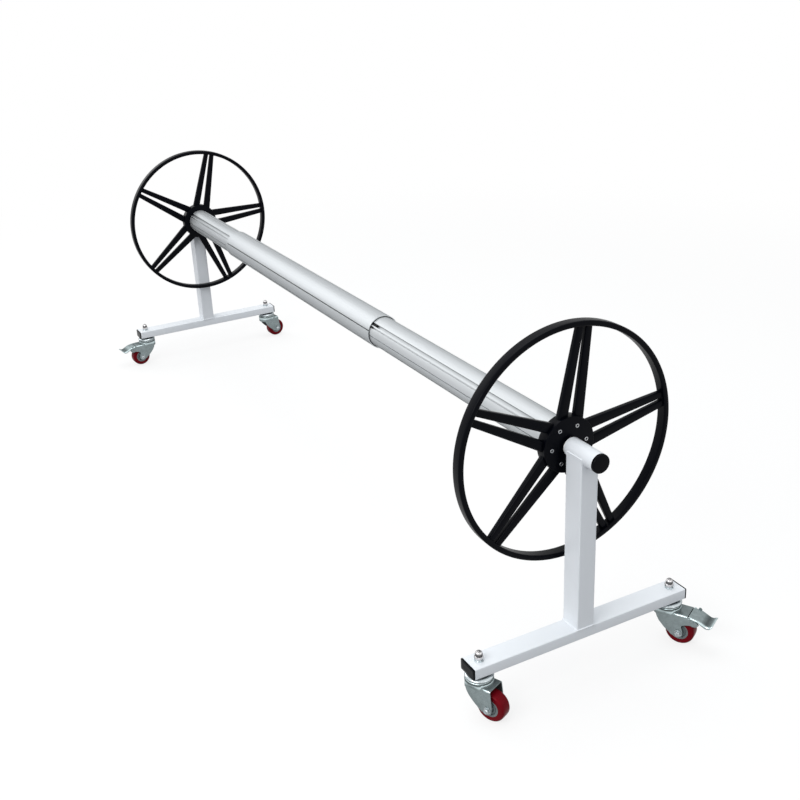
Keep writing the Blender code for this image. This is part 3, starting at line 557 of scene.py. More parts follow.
FINISHES = {
    "white_powder_coat": dict(colour=(0.78, 0.81, 0.845), roughness=0.38, grain=(700, 0.00004), broad=6,
                              tint=0.012, specular=0.35),
    "anodised_aluminium": dict(colour=(0.575, 0.598, 0.614), roughness=0.42, metallic=0.62,
                               stretch=(1, 1, 0.004), grain=(900, 0.000008), broad=260, tint=0.018,
                               polish=0.03, specular=0.1, edge_tint=(0, 0, 0), tone_and_light_gain=1.0),
    "black_moulding": dict(colour=(0.0009, 0.0013, 0.0030), roughness=0.33, grain=(1100, 0.00006),
                           broad=25, tint=0.15, specular=0.055),
    "black_plastic": dict(colour=(0.0023, 0.0025, 0.0040), roughness=0.24, grain=(900, 0.00004),
                          broad=60, tint=0.2, specular=0.05),
    "white_nylon": dict(colour=(0.76, 0.76, 0.74), roughness=0.5, grain=(500, 0.00002)),
    "steel": dict(colour=(0.42, 0.43, 0.44), roughness=0.3, metallic=1.0, grain=(1200, 0.00002), tint=0.08),
    "zinc_plate": dict(colour=(0.25, 0.295, 0.30), roughness=0.25, metallic=0.6, grain=(900, 0.00003),
                       broad=90, tint=0.10, polish=0.06, specular=0.15, edge_tint=(0.2, 0.2, 0.2), tone_and_light_gain=2.2),
    "stainless": dict(colour=(0.34, 0.335, 0.34), roughness=0.18, metallic=1.0, grain=(800, 0.00001),
                      tint=0.05, edge_tint=(0.15, 0.15, 0.15), tone_and_light_gain=1.6),
    "red_tyre": dict(colour=(0.160, 0.0032, 0.0082), roughness=0.28, grain=(600, 0.00003), broad=40,
                     tint=0.12, specular=0.05),
    "grey_core": dict(colour=(0.18, 0.21, 0.215), roughness=0.40, grain=(900, 0.00004), broad=60,
                      tint=0.08, specular=0.25),
    "bright_zinc": dict(colour=(0.42, 0.46, 0.475), roughness=0.22, metallic=0.8, grain=(900, 0.00002),
                        broad=90, tint=0.08, polish=0.05, edge_tint=(0, 0, 0), tone_and_light_gain=0.9),
    # A darker copy of the zinc, painted shade for the fork's inside
    "shaded_zinc": dict(colour=(0.075, 0.080, 0.085), roughness=0.42, metallic=0.5, grain=(700, 0.00004),
                      broad=70, tint=0.15, specular=0.1),
}
looks = {name: make_look(name, **finish) for name, finish in FINISHES.items()}
for node_name, node in frame["nodes"].items():
    slot = next(s["material_slot"] for s in frame["record"]["subparts"] if s["node"] == node_name)
    node.data.materials.clear()
    node.data.materials.append(looks[slot])


# The reel

def tube_outline(radius, inset, features):
    """Outline of an extruded tube inset from its surface, with its grooves."""
    ring = radius - inset
    skin = GROOVE_SKIN if inset else 0
    marks = []
    for angle, width, depth in sorted(features):
        half = width / 2 + skin
        marks.append((radians(angle), half, radius - depth - skin, asin(half / ring)))
    points = []
    for index, (angle, half, floor, spread) in enumerate(marks):
        edge = ring * cos(spread)
        out, aside = ring * cos(spread + SHOULDER), ring * sin(spread + SHOULDER)
        groove = with_radius([(edge, -half), (floor, -half), (floor, half), (edge, half)], GROOVE_CORNER)
        for x, y in rounded([(out, -aside)] + groove + [(out, aside)], 3, closed=False)[1:-1]:
            points.append(spun(x, y, angle))
        following = marks[(index + 1) % len(marks)]
        next_angle = following[0] + (tau if index + 1 == len(marks) else 0)
        start, stop = angle + spread + SHOULDER, next_angle - following[3] - SHOULDER
        count = max(2, round((next_angle - angle) / radians(TUBE_STEP)))
        points += [polar(ring, start + (stop - start) * k / count) for k in range(count + 1)]
    return points


def with_groove_shade(extrusion, radius, groove_shade):
    """The extrusion with painted shade in its deep grooves, as (degrees, darkness) round its axis."""
    values = []
    for vert in extrusion.verts:
        turn = degrees(atan2(vert.co.y, vert.co.x)) % 180
        values.append(along(groove_shade, turn) if vert.co.xy.length < radius - DEEP else 0)
    return paint_tone_and_light(extrusion, values)


def opposite(*features):
    """The features and the same ones on the other side."""
    return list(features) + [(angle + 180, *rest) for angle, *rest in features]


def spoke(turn, hand, start, stop):
    """One bar of a twin spoke, with rounded edges, from radius start to stop."""
    sections = []
    span = WHEEL_RADIUS - RIM_THICKNESS - HUB_RADIUS
    for step in range(SPOKE_STEPS + 1):
        radius = start + (stop - start) * step / SPOKE_STEPS
        share = (radius - HUB_RADIUS) / span
        outer = (PAIR_WIDTH[0] + (PAIR_WIDTH[1] - PAIR_WIDTH[0]) * share) / 2
        inner = (SLIT_WIDTH[0] + (SLIT_WIDTH[1] - SLIT_WIDTH[0]) * share) / 2
        bar = [(x + hand * (outer + inner) / 2, z)
               for x, z in rectangle(outer - inner, SPOKE_DEPTH, SPOKE_CORNER, 4)]
        sections.append([spun(radius, x, turn, z) for x, z in bar])
    return loft(sections)


def handwheel(end):
    side = SIDE[end]
    low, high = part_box(f"{end}_handwheel")
    middle = on_axis((low.x + high.x) / 2)
    half = RIM_DEPTH / 2
    inside = WHEEL_RADIUS - RIM_THICKNESS
    rim = with_radius([(-half, inside), (-half, WHEEL_RADIUS), (half, WHEEL_RADIUS), (half, inside)],
                      RIM_CORNER)
    bore = AXLE_RADIUS + GAP
    face = HUB_DEPTH / 2
    hub = [(-face, bore), (-face, HUB_RADIUS, HUB_CORNER), (face, HUB_RADIUS, HUB_CORNER), (face, bore)]
    parts = [turned(rim, 160, 5, ring=True), turned(hub, 128, 3, ring=True)]
    for pair in range(SPOKE_PAIRS):
        turn = radians(WHEEL_TURN[end]) + tau * pair / SPOKE_PAIRS
        for hand in (-1, 1):
            parts.append(spoke(turn, hand, HUB_RADIUS - SPOKE_ROOT, WHEEL_RADIUS - RIM_THICKNESS / 2))
    piece(f"{end}_handwheel_moulding", merged(*parts), "black_moulding", f"{end}_reel", middle,
          [f"{end}_handwheel"])
    screws = []
    for number in range(HUB_SCREWS):
        turn = radians(HUB_SCREW_TURN + 360 * number / HUB_SCREWS)
        place = Matrix.Translation(polar(HUB_SCREW_CIRCLE, turn, side * face))
        if side < 0:
            place = place @ Matrix.Rotation(pi, 4, "X")
        screws.append(moved(turned(HUB_SCREW, 24, 2), place))
    piece(f"{end}_hub_screws", merged(*screws), "steel", f"{end}_reel", middle)


def reel():
    features = opposite(CHANNEL, GROOVE, TUBE_LINE)
    outer, inner = (tube_outline(TUBE_RADIUS, inset, features) for inset in (0, TUBE_WALL))
    for end in SIDE:
        low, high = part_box(f"{end}_tube")
        # Painted shade in the channel's upper half and in the groove below it
        tube = with_groove_shade(pipe(outer, inner, low.x, high.x), TUBE_RADIUS, TUBE_GROOVE_SHADE)
        piece(f"{end}_tube_extrusion", tube, "anodised_aluminium", f"{end}_reel", on_axis(),
              [f"{end}_tube"], sharp=25)
        handwheel(end)
        low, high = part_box(f"{end}_axle")
        shaft = turned([(low.x, 0), (low.x, AXLE_RADIUS), (high.x, AXLE_RADIUS), (high.x, 0)], 48)
        piece(f"{end}_axle_shaft", shaft, "steel", f"{end}_reel", on_axis())


def sleeve():
    features = opposite(SLEEVE_LINE)
    outer, inner = (tube_outline(SLEEVE_RADIUS, inset, features) for inset in (0, TUBE_WALL))
    low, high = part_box("centre_sleeve")
    # Painted shade in the sleeve's groove and on its inner wall
    tube = with_groove_shade(pipe(outer, inner, low.x, high.x, MOUTH_EDGE), SLEEVE_RADIUS, SLEEVE_GROOVE_SHADE)
    piece("centre_sleeve_extrusion", tube, "anodised_aluminium", "sleeve", on_axis(),
          ["centre_sleeve"], sharp=25)
    bore = TUBE_RADIUS + SLIDE_GAP
    rim = SLEEVE_RADIUS - TUBE_WALL - SLIDE_GAP
    for end, side in SIDE.items():
        low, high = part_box(f"{end}_sleeve_ring")
        mouth, root = (high.x, low.x) if side > 0 else (low.x, high.x)
        face = mouth - side * RING_SETBACK
        profile = [(root, bore), (root, rim), (face, rim, RING_CORNER), (face, bore, RING_CORNER)]
        parts = [turned(profile, 64, 2, ring=True, start=radians(SLEEVE_LINE[0] + turn),
                        sweep=radians(RING_SWEEP)) for turn in RING_STARTS]
        keys = [(CHANNEL, KEY_LENGTH), (GUIDE_PAD, PAD_LENGTH)] if end == "near" else []
        for key, length in keys:
            for angle, width, depth in opposite(key):
                parts.append(guide_key(angle, width, depth, mouth - side * KEY_ROOT, mouth + side * length))
        piece(f"{end}_sleeve_guide", merged(*parts), "black_plastic", "sleeve", on_axis(),
              [f"{end}_sleeve_ring"])


def guide_key(angle, width, depth, start, stop):
    """A tongue of the guide ring in a channel of the tube, or on the tube where depth is negative."""
    inside = TUBE_RADIUS - depth + SLIDE_GAP if depth > 0 else TUBE_RADIUS + KEY_GAP
    outside = TUBE_RADIUS - KEY_GAP if depth > 0 else TUBE_RADIUS - depth
    half = width / 2 - GAP
    outline = rounded([(inside, -half), (outside, -half, GROOVE_CORNER), (outside, half, GROOVE_CORNER),
                       (inside, half)], 2)
    tongue = plate(outline, min(start, stop), max(start, stop))
    return moved(tongue, Matrix.Rotation(radians(angle), 4, "Z"))


# The stands

def dense(outline, gap=0.004):
    """The outline with points added, so that no step is longer than gap."""
    result = []
    for index, point in enumerate(outline):
        here, after = Vector(point), Vector(outline[(index + 1) % len(outline)])
        count = max(1, ceil((after - here).length / gap))
        result += [tuple(here.lerp(after, k / count)) for k in range(count)]
    return result


def beam(end):
    outline = rectangle(BEAM_WIDTH, BEAM_HEIGHT, BEAM_CORNER)
    hollow = rectangle(BEAM_WIDTH - 2 * STEEL_WALL, BEAM_HEIGHT - 2 * STEEL_WALL, HOLLOW_CORNER)
    half = BEAM_LENGTH / 2
    middle = on_stand(end, z=BEAM_BOTTOM + BEAM_HEIGHT / 2)
    piece(f"{end}_beam_tube", pipe(outline, hollow, -half, half), "white_powder_coat",
          f"{end}_stand", middle @ ALONG_Y, [f"{end}_base_beam"])
    face = half + GAP
    crown = face + BEAM_CAP_HEAD
    sunk, proud = BEAM_CAP_RELIEF
    for name, turn in (("left", ALONG_Y), ("right", Matrix.Rotation(pi, 4, "Z") @ ALONG_Y)):
        cap = plate(outline, face, crown, 0.0005)
        field = rectangle(BEAM_WIDTH - BEAM_CAP_FIELD, BEAM_HEIGHT - BEAM_CAP_FIELD, 0.002)
        raised = plate(field, crown - sunk, crown + proud, 0.0002, 1)
        spigot = rectangle(BEAM_WIDTH - BEAM_PLUG_INSET, BEAM_HEIGHT - BEAM_PLUG_INSET, HOLLOW_CORNER)
        plug = plate(spigot, face - BEAM_PLUG_DEPTH, face + 0.001)
        piece(f"{end}_{name}_beam_plug", merged(cap, raised, plug), "black_plastic", f"{end}_stand",
              middle @ turn, [f"{end}_{name}_beam_cap"])


def post(end):
    """Upright coped to the bearing tube, and the weld beads at its foot and its saddle."""
    body = f"{end}_stand"
    outer = dense(rectangle(POST_X, POST_Y, BEAM_CORNER))
    inner = dense(rectangle(POST_X - 2 * STEEL_WALL, POST_Y - 2 * STEEL_WALL, HOLLOW_CORNER))
    foot = [[(x, y, BEAM_TOP + GAP) for x, y in outline] for outline in (inner, outer)]
    cope = [[(x, y, AXLE_HEIGHT - sqrt(max(0.0, (BEARING_RADIUS + GAP) ** 2 - y * y)))
             for x, y in outline] for outline in (outer, inner)]
    piece(f"{end}_post_tube", loft(foot + cope, closed=True), "white_powder_coat", body, on_stand(end),
          [f"{end}_upright_post"])
    run = dense(rectangle(POST_X + 0.001, POST_Y + 0.001, BEAM_CORNER), SEAM_STEP)
    seams = [bead([(x, y, BEAM_TOP + SEAM_LIFT) for x, y in run], FOOT_BEAD)]
    saddle = []
    for x, y in dense(rectangle(POST_X + 0.0005, POST_Y + 0.0005, BEAM_CORNER), SEAM_STEP):
        reach = min(abs(y), BEARING_RADIUS + SEAM_LIFT)
        drop = sqrt((BEARING_RADIUS + SEAM_LIFT) ** 2 - reach ** 2)
        saddle.append((x, copysign(reach, y), AXLE_HEIGHT - drop))
    seams.append(bead(saddle, SADDLE_BEAD))
    piece(f"{end}_weld_beads", merged(*seams), "white_powder_coat", body, on_stand(end), sharp=70)


def bearing(end):
    """Bearing tube, the black plug in its outer end and the flange of its bush."""
    side = SIDE[end]
    body = f"{end}_stand"
    bore = BEARING_RADIUS - BEARING_WALL
    start, stop = -side * BEARING_INBOARD, side * BEARING_OUTBOARD
    tube = [(start, bore), (start, BEARING_RADIUS, 0.0006), (stop, BEARING_RADIUS, 0.0004), (stop, bore)]
    piece(f"{end}_bearing_housing", turned(tube, 96, 3, ring=True), "white_powder_coat", body,
          on_axis(STAND_X[end]), [f"{end}_bearing_tube"])
    root = side * (BEARING_OUTBOARD - CAP_SPIGOT)
    rim = side * (BEARING_OUTBOARD + GAP)
    face = rim + side * CAP_HEAD
    crown = [(root, 0), (root, bore - GAP), (rim, bore - GAP), (rim, BEARING_RADIUS, 0.0004),
             (face, BEARING_RADIUS, CAP_CROWN), (face, 0)]
    piece(f"{end}_bearing_plug", turned(crown, 96, 8), "black_plastic", body, on_axis(STAND_X[end]),
          [f"{end}_bearing_cap"])
    low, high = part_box(f"{end}_bush")
    inboard = low.x if side > 0 else high.x
    outboard = inboard + side * FLANGE_DEPTH
    flange = [(inboard, BUSH_BORE), (inboard, FLANGE_RADIUS, 0.0005), (outboard, FLANGE_RADIUS, 0.0003),
              (outboard, BUSH_BORE)]
    piece(f"{end}_bush_flange", turned(flange, 64, 2, ring=True), "white_nylon", body, on_axis())


# The casters

def chamfered_hexagon(across_flats, low, high, turn):
    """A hexagon whose corners are turned down at both ends, as on a nut."""
    flat = across_flats / 2
    drop = (flat / cos(pi / 6) - flat) * CHAMFER_HEIGHT
    sections = []
    for z, cut in ((low, True), (low + drop, False), (high - drop, False), (high, True)):
        section = []
        for k in range(HEXAGON_STEPS):
            angle = turn + tau * k / HEXAGON_STEPS
            side = flat / cos((angle - turn) % (pi / 3) - pi / 6)
            section.append(polar(flat * CHAMFER_REACH if cut else side, angle + pi / 6, z))
        sections.append(section)
    return loft(sections)


def nut_washers():
    """Flat washer and split lock washer under the nut."""
    washer = turned([(0, 0), (0, 0.0122, 0.0004), (0.0020, 0.0122, 0.0006), (0.0020, 0)], 64, 3)
    spring = turned([(0.0024, 0.0066), (0.0024, 0.0105), (0.0048, 0.0105), (0.0048, 0.0066)], 60,
                    ring=True, start=radians(22), sweep=radians(342))
    both = merged(washer, spring)
    return paint_tone_and_light(both, [WASHER_SHINE] * len(both.verts))


def acorn_nut():
    head = chamfered_hexagon(0.0205, 0.0050, 0.0130, NUT_TURN)
    # Painted highlight: the hexagon is a lighter copy of the dome's steel
    paint_tone_and_light(head, [HEXAGON_HIGHLIGHT] * len(head.verts))
    shank = turned([(0.001, 0), (0.001, 0.0064), (0.006, 0.0064), (0.006, 0)], 24)
    profile = [(0.0120, 0), (0.0120, 0.0081), (0.0138, 0.0081), (0.0142, 0.0091)]
    profile += [(DOME_WAIST + DOME_RADIUS * sin(turn), DOME_RADIUS * cos(turn))
                for turn in (pi / 2 * k / 12 for k in range(12))]
    profile.append((DOME_WAIST + DOME_RADIUS, 0))
    dome = turned(profile, 48)
    # Painted reflection: the dome is darkened round its waist, as if mirroring the dark floor line, and
    # lightened above it
    paint_tone_and_light(dome, [along(DOME_REFLECTION, (vert.co.z - DOME_WAIST) / DOME_RADIUS) for vert in dome.verts])
    return merged(head, shank, dome)


def swivel_cup():
    """Upper race: a neck up to the beam and a pressed dome over the fork's race."""
    top, bottom, crown = -0.004, -0.013, 0.0215
    brim = bottom + 0.0016
    neck = [(-GAP, STEM_HOLE), (-GAP, 0.014), (top, 0.0145)]
    dome = [(brim + (top - brim) * sin(turn), crown + (CUP_RADIUS - crown) * cos(turn))
            for turn in (pi / 2 * k / 14 for k in range(14, -1, -1))]
    lip = rounded([(brim, CUP_RADIUS), (bottom, CUP_RADIUS - 0.0003, 0.0007), (bottom, 0.0340, 0.0004),
                   (bottom + 0.003, 0.0330, 0.001), (top - 0.003, 0.0200, 0.001),
                   (top - 0.003, STEM_HOLE)], 3, closed=False)
    # Painted shade on the neck under the beam, on the dome's crown and on the lip, and a painted highlight
    # band round the dome
    painted_light = [NECK_SHADE] * len(neck) + [along(CUP_PAINTED_LIGHT, k) for k in range(len(dome))]
    painted_light += [LIP_SHADE] * len(lip)
    cup = turned(neck + dome + lip, CUP_STEPS, ring=True)
    return paint_tone_and_light(cup, [value for value in painted_light for _ in range(CUP_STEPS)])


def cheek_share(step):
    """How far the race has run down into a cheek: 0 in front, 1 beside the stem and behind it."""
    angle = tau * step / RACE_STEPS
    if cos(angle) <= 0:
        return 1
    return min(1, max(0, (abs(sin(angle)) - CHEEK_START) / CHEEK_RUN))


def fork_race():
    """Lower race with its pressed rings; at the sides it runs down into the cheeks."""
    loops = [[] for _ in range(len(RACE_FRONT) + 2)]
    for step in range(RACE_STEPS):
        angle = tau * step / RACE_STEPS
        share = cheek_share(step)
        row = []
        for (height, radius), (level, bulge, pull), proud in zip(RACE_FRONT, RACE_BESIDE, RACE_PROUD):
            flat = min(CUP_RADIUS, (FORK_WIDTH / 2 + proud) / max(abs(sin(angle)), 0.01))
            beside = bulge + (flat - bulge) * pull
            row.append((radius + (beside - radius) * share, height + (level - height) * share))
        row = [(row[0][0] - RACE_WALL, row[0][1])] + row + [(row[-1][0] - RACE_WALL, row[-1][1])]
        for loop, (radius, height) in zip(loops, row):
            loop.append(polar(radius, angle, height))
    # Painted highlights and shade in bands over the race's rings and shoulders
    race = paint_tone_and_light(loft(loops, closed=True),
               [front + (beside - front) * cheek_share(step)
                for front, beside in zip(RACE_PAINTED_LIGHT, SHOULDER_PAINTED_LIGHT) for step in range(RACE_STEPS)])
    plug = turned([(FORK_TOP - 0.0005, 0.0068), (FORK_TOP - 0.0005, 0.0320), (-0.0137, 0.0312),
                   (-0.0133, 0.0300), (-0.0133, 0.0068)], 96, ring=True)
    return merged(race, plug)


def cheek_points(braked):
    """Lower outline of a cheek, from its front top corner round to its rear top corner."""
    front = EAR if braked else CHEEK_FRONT
    eye_x, eye_radius = CHEEK_EYE
    eye = [(eye_x + eye_radius * cos(turn), WHEEL_DROP - eye_radius * sin(turn))
           for turn in (radians(angle) for angle in range(360, 224, -9))]
    points = with_radius(front[::-1], 0.004) + eye + with_radius(CHEEK_REAR[::-1], 0.006)
    return [(x, -drop, *radius) for x, drop, *radius in points]


def fork_sheet(braked):
    """Bent plate of the fork as a sheet: its top, round behind, and the two bends and cheeks."""
    reach = FORK_REACH[braked]
    half = FORK_WIDTH / 2
    rear = -CUP_RADIUS * cos(asin(half / CUP_RADIUS))
    inner = half - FORK_BEND
    bm = bmesh.new()
    tone_and_painted_light = bm.verts.layers.float.new("tone_and_painted_light")
    bends = []
    for hand in (-1, 1):
        strip = []
        # Painted highlight along each bend, with a little painted shade where it leaves the top
        for step, painted_light in enumerate(BEND_PAINTED_LIGHT):
            angle = pi / 2 * step / (len(BEND_PAINTED_LIGHT) - 1)
            y = hand * (inner + FORK_BEND * sin(angle))
            z = FORK_TOP - FORK_BEND * (1 - cos(angle))
            line = [bm.verts.new((x, y, z)) for x in (rear, *BEND_STATIONS, reach)]
            for vert, part in zip(line, (0, 0, 1, 1)):
                vert[tone_and_painted_light] = painted_light * part
            strip.append(line)
        for above, below in zip(strip, strip[1:]):
            for k in range(3):
                bm.faces.new((above[k], below[k], below[k + 1], above[k + 1]))
        bends.append(strip)
        corners = [(reach, FORK_TOP - FORK_BEND)] + cheek_points(braked) + [(rear, FORK_TOP - FORK_BEND)]
        lower = rounded(corners, 4, closed=False)[1:-1]
        bm.faces.new(strip[-1] + [bm.verts.new((x, hand * half, z)) for x, z in lower])
    left, right = bends
    tangent = asin(inner / CUP_RADIUS)
    arc = [bm.verts.new(polar(CUP_RADIUS, pi - tangent + 2 * tangent * k / 16, FORK_TOP))
           for k in range(17)]
    bm.faces.new([left[0][3]] + right[0][::-1] + arc + left[0][:3])
    bmesh.ops.recalc_face_normals(bm, faces=bm.faces)
    top = max(bm.faces, key=lambda face: face.calc_center_median().z)
    if top.normal.z < 0:
        bmesh.ops.reverse_faces(bm, faces=bm.faces)
    return bm


def thickened(item):
    """Give a fork's sheet its thickness and rounded rims, with the second material, zinc darkened as painted
    shade, inside.
    """
    sheet = item.modifiers.new("thickness", "SOLIDIFY")
    sheet.thickness = FORK_PLATE
    sheet.offset = -1
    sheet.use_even_offset = True
    sheet.material_offset = 1
    rims = item.modifiers.new("rims", "BEVEL")
    rims.width = FORK_RIM
    rims.segments = 2
    rims.limit_method = "ANGLE"
    rims.angle_limit = radians(50)
    rims.harden_normals = False


def axle_bolt():
    """Hexagon heads with domed, dimpled faces and washers on the wheel's axle; own Z across."""
    half = FORK_WIDTH / 2
    end = half + 0.002
    base = half + GAP
    parts = [turned([(-end, 0), (-end, 0.004), (end, 0.004), (end, 0)], 24)]
    for hand in (-1, 1):
        washer = turned([(base, 0), (base, 0.0098, 0.0002), (base + 0.0014, 0.0098, 0.0006),
                         (base + 0.0014, 0)], 48, 3)
        head = chamfered_hexagon(0.0142, base + 0.0014, base + 0.0062, 0.35 * hand)
        face = turned([(base + 0.004, 0), (base + 0.004, 0.0070), (base + 0.0056, 0.0070, 0.0005),
                       (base + 0.0076, 0.0052, 0.0008), (base + 0.0078, 0.0028, 0.0004),
                       (base + 0.0062, 0.0022, 0.0004), (base + 0.0058, 0)], 40, 3)
        for part in (washer, head, face):
            parts.append(moved(part, Matrix.Scale(hand, 4, (0, 0, 1))))
    return merged(*parts)


def mirrored(right, segments, steps):
    """A body turned from half a profile and its mirror image."""
    left = [(-height, *rest) for height, *rest in right[::-1]]
    return turned(right + left, segments, steps, ring=True)


def tyre():
    half = 0.017
    return mirrored([(half, CORE_RADIUS), (half, 0.0352, 0.0022), (0.0132, 0.0384, 0.003),
                     (0.0075, TYRE_RADIUS, 0.006)], 96, 4)


def wheel_core():
    """Moulded centre: outer ring, groove, inner ring and the boss on the axle."""
    return mirrored([(0.0244, 0.0043), (0.0244, 0.0078, 0.0008), (0.0150, 0.0095, 0.001),
                     (0.0138, 0.0108, 0.0006), (0.0166, 0.0112, 0.0006), (0.0170, 0.0155, 0.0006),
                     (0.0140, 0.0160, 0.0005), (0.0140, 0.0176, 0.0005), (0.0166, 0.0180, 0.0006),
                     (0.0176, CORE_RADIUS - 0.0005, 0.0009), (0.0168, CORE_RADIUS + 0.0002, 0.0003)],
                    72, 3)


def side_plate(points, centre, width):
    """A plate of the pedal drawn in the side view, centred across the fork at centre."""
    outline = rounded([(x - PIN[0], PIN[1] - drop, PLATE_CORNER) for x, drop in points], 3)
    return plate(outline, centre - width / 2, centre + width / 2, PLATE_EDGE)


def pedal_shell(half):
    """Top of the pedal with its sides bent down, as a closed shell; its own Z lies across."""
    arc = [pi / 2 * k / 6 for k in range(7)]
    tip_start, tip_length, tip_taper = PEDAL_TIP
    sections, painted_lights = [], []
    for x, top in rounded([(x, drop, 0.006) for x, drop in PEDAL_TOP], 6, closed=False):
        rim = along(PEDAL_RIM, x)
        bend = min(PEDAL_BEND, rim - top - 0.0003)
        reach = half - tip_taper * max(0, (x - tip_start) / tip_length)
        lining_bend = max(0.0004, bend - PEDAL_WALL)
        outside, inside = [], []
        for hand in (-1, 1):
            skin = [(hand * reach, rim)]
            skin += [(hand * (reach - bend + bend * cos(turn)), top + bend - bend * sin(turn))
                     for turn in arc]
            lining = [(hand * (reach - PEDAL_WALL), rim)]
            lining += [(hand * (reach - PEDAL_WALL - lining_bend + lining_bend * cos(turn)),
                        max(top + PEDAL_PLATE + lining_bend - lining_bend * sin(turn), top + 0.001))
                       for turn in arc]
            outside += skin if hand < 0 else skin[::-1]
            inside += lining if hand < 0 else lining[::-1]
        sections.append([(x - PIN[0], PIN[1] - drop, z) for z, drop in outside + inside[::-1]])
        # Painted shade in the pedal's valley, painted highlights on its lip and along its bends
        painted_light = along(PEDAL_PAINTED_LIGHT, x)
        bends = [painted_light] + [painted_light + (1 - painted_light) * value for value in BEND_PAINTED_LIGHT[::-1]]
        painted_lights += bends + bends[::-1] + [0] * len(inside)
    return paint_tone_and_light(loft(sections), painted_lights)


def pedal():
    """Foot pedal bent from plate: top, side walls, skirts on the pin, shoe and tab."""
    half = FORK_WIDTH / 2
    skirt = half - FORK_PLATE - 0.0006 - PEDAL_WALL / 2
    parts = [pedal_shell(half)]
    for hand in (-1, 1):
        parts.append(side_plate(PEDAL_SKIRT, hand * skirt, PEDAL_WALL))
    parts.append(side_plate(PEDAL_SHOE, 0, SHOE_WIDTH))
    parts.append(side_plate(PEDAL_TAB, -half + PEDAL_WALL / 2, PEDAL_WALL))
    return merged(*parts)


def pedal_eyelets():
    """Pressed eyelets in the pedal's side walls, their rings lightened as a painted highlight and their
    holes darkened as painted shade.
    """
    half = FORK_WIDTH / 2
    root = half - 0.004
    bottom = half - 0.0001
    place = Matrix.Translation((EYELET[0] - PIN[0], PIN[1] - EYELET[1], 0))
    parts = []
    for hand in (-1, 1):
        ring = turned([(root, 0.0017), (half + 0.0003, 0.0017), (half + 0.0006, 0.0022),
                       (half + 0.0003, 0.0029), (root, 0.0029)], 24, ring=True)
        hole = turned([(root, 0), (root, 0.0018), (bottom, 0.0018), (bottom, 0)], 16)
        # Painted highlight on each ring, painted shade in each hole
        for part, painted_light in ((ring, EYELET_HIGHLIGHT), (hole, HOLE_SHADE)):
            paint_tone_and_light(part, [painted_light] * len(part.verts))
            parts.append(moved(part, place @ Matrix.Scale(hand, 4, (0, 0, 1))))
    return merged(*parts)


def pedal_rivet():
    """Rivet that the pedal turns on; its own Z lies across."""
    half = FORK_WIDTH / 2
    root, face = half + GAP, half + 0.0023
    return turned([(-face, 0), (-face, 0.005, 0.0012), (-root, 0.005), (-root, 0.003), (root, 0.003),
                   (root, 0.005), (face, 0.005, 0.0012), (face, 0)], 32, 3)


def caster(name):
    end = name.split("_")[0]
    braked = CASTERS[name][1]
    stem = on_caster(name)
    swivel, wheel, base = f"{name}_swivel", f"{name}_wheel", f"{end}_stand"
    nut_place = Matrix.Translation(stem.translation + Vector((0, 0, BEAM_HEIGHT + GAP)))
    piece(f"{name}_domed_nut", acorn_nut(), "stainless", base, nut_place, [f"{name}_acorn_nut"])
    piece(f"{name}_nut_washers", nut_washers(), "stainless", base, nut_place, finish="bright_zinc")
    piece(f"{name}_upper_race", swivel_cup(), "zinc_plate", base,
          Matrix.Translation(stem.translation), [f"{name}_swivel_cup"], finish="bright_zinc")
    sheet = piece(f"{name}_fork_plate", fork_sheet(braked), "zinc_plate", swivel, stem,
                  [f"{name}_fork"], sharp=30)
    # The fork's inside takes a darker copy of the zinc: painted shade between wheel and cheeks
    sheet.data.materials.append(looks["shaded_zinc"])
    thickened(sheet)
    piece(f"{name}_lower_race", fork_race(), "zinc_plate", swivel, stem)
    axle = stem @ across(TRAIL, WHEEL_DROP)
    piece(f"{name}_wheel_bolt", axle_bolt(), "zinc_plate", swivel, axle, [f"{name}_axle_bolt"],
          finish="bright_zinc")
    piece(f"{name}_tyre_tread", tyre(), "red_tyre", wheel, axle, [f"{name}_tyre"], sharp=50)
    piece(f"{name}_wheel_centre", wheel_core(), "grey_core", wheel, axle, [f"{name}_wheel_core"])
    if braked:
        pin = stem @ across(*PIN)
        piece(f"{name}_pedal_rivet", pedal_rivet(), "zinc_plate", swivel, pin, [f"{name}_pedal_pin"])
        piece(f"{name}_foot_pedal", pedal(), "zinc_plate", f"{name}_pedal", pin, [f"{name}_brake_pedal"])
        piece(f"{name}_pedal_eyelets", pedal_eyelets(), "zinc_plate", f"{name}_pedal", pin)


reel()
sleeve()
for end_name in SIDE:
    beam(end_name)
    post(end_name)
    bearing(end_name)
for caster_name in CASTERS:
    caster(caster_name)


# Floor, light and camera

def directly_seen(tree):
    """1 where the camera or a mirror looks straight at the material, else 0."""
    path = tree.nodes.new("ShaderNodeLightPath")
    seen = path.outputs["Is Camera Ray"]
    for ray in ("Is Glossy Ray", "Is Transmission Ray"):
        seen = add_node(tree, "ShaderNodeMath", {0: seen, 1: path.outputs[ray]}, "MAXIMUM").outputs[0]
    return seen


def make_world():
    """Soft light from all round, and plain white where the surroundings are looked at."""
    world = bpy.data.worlds.new("studio")
    bpy.context.scene.world = world
    world.use_nodes = True
    tree = world.node_tree
    tree.nodes.clear()
    soft = add_node(tree, "ShaderNodeBackground", {"Color": (*WORLD_COLOUR, 1), "Strength": WORLD_LIGHT})
    white = add_node(tree, "ShaderNodeBackground", {"Color": (1, 1, 1, 1), "Strength": 1.0})
    mix = add_node(tree, "ShaderNodeMixShader", {"Fac": directly_seen(tree), 1: soft.outputs[0],
                                                 2: white.outputs[0]})
    add_node(tree, "ShaderNodeOutputWorld", {"Surface": mix.outputs[0]})


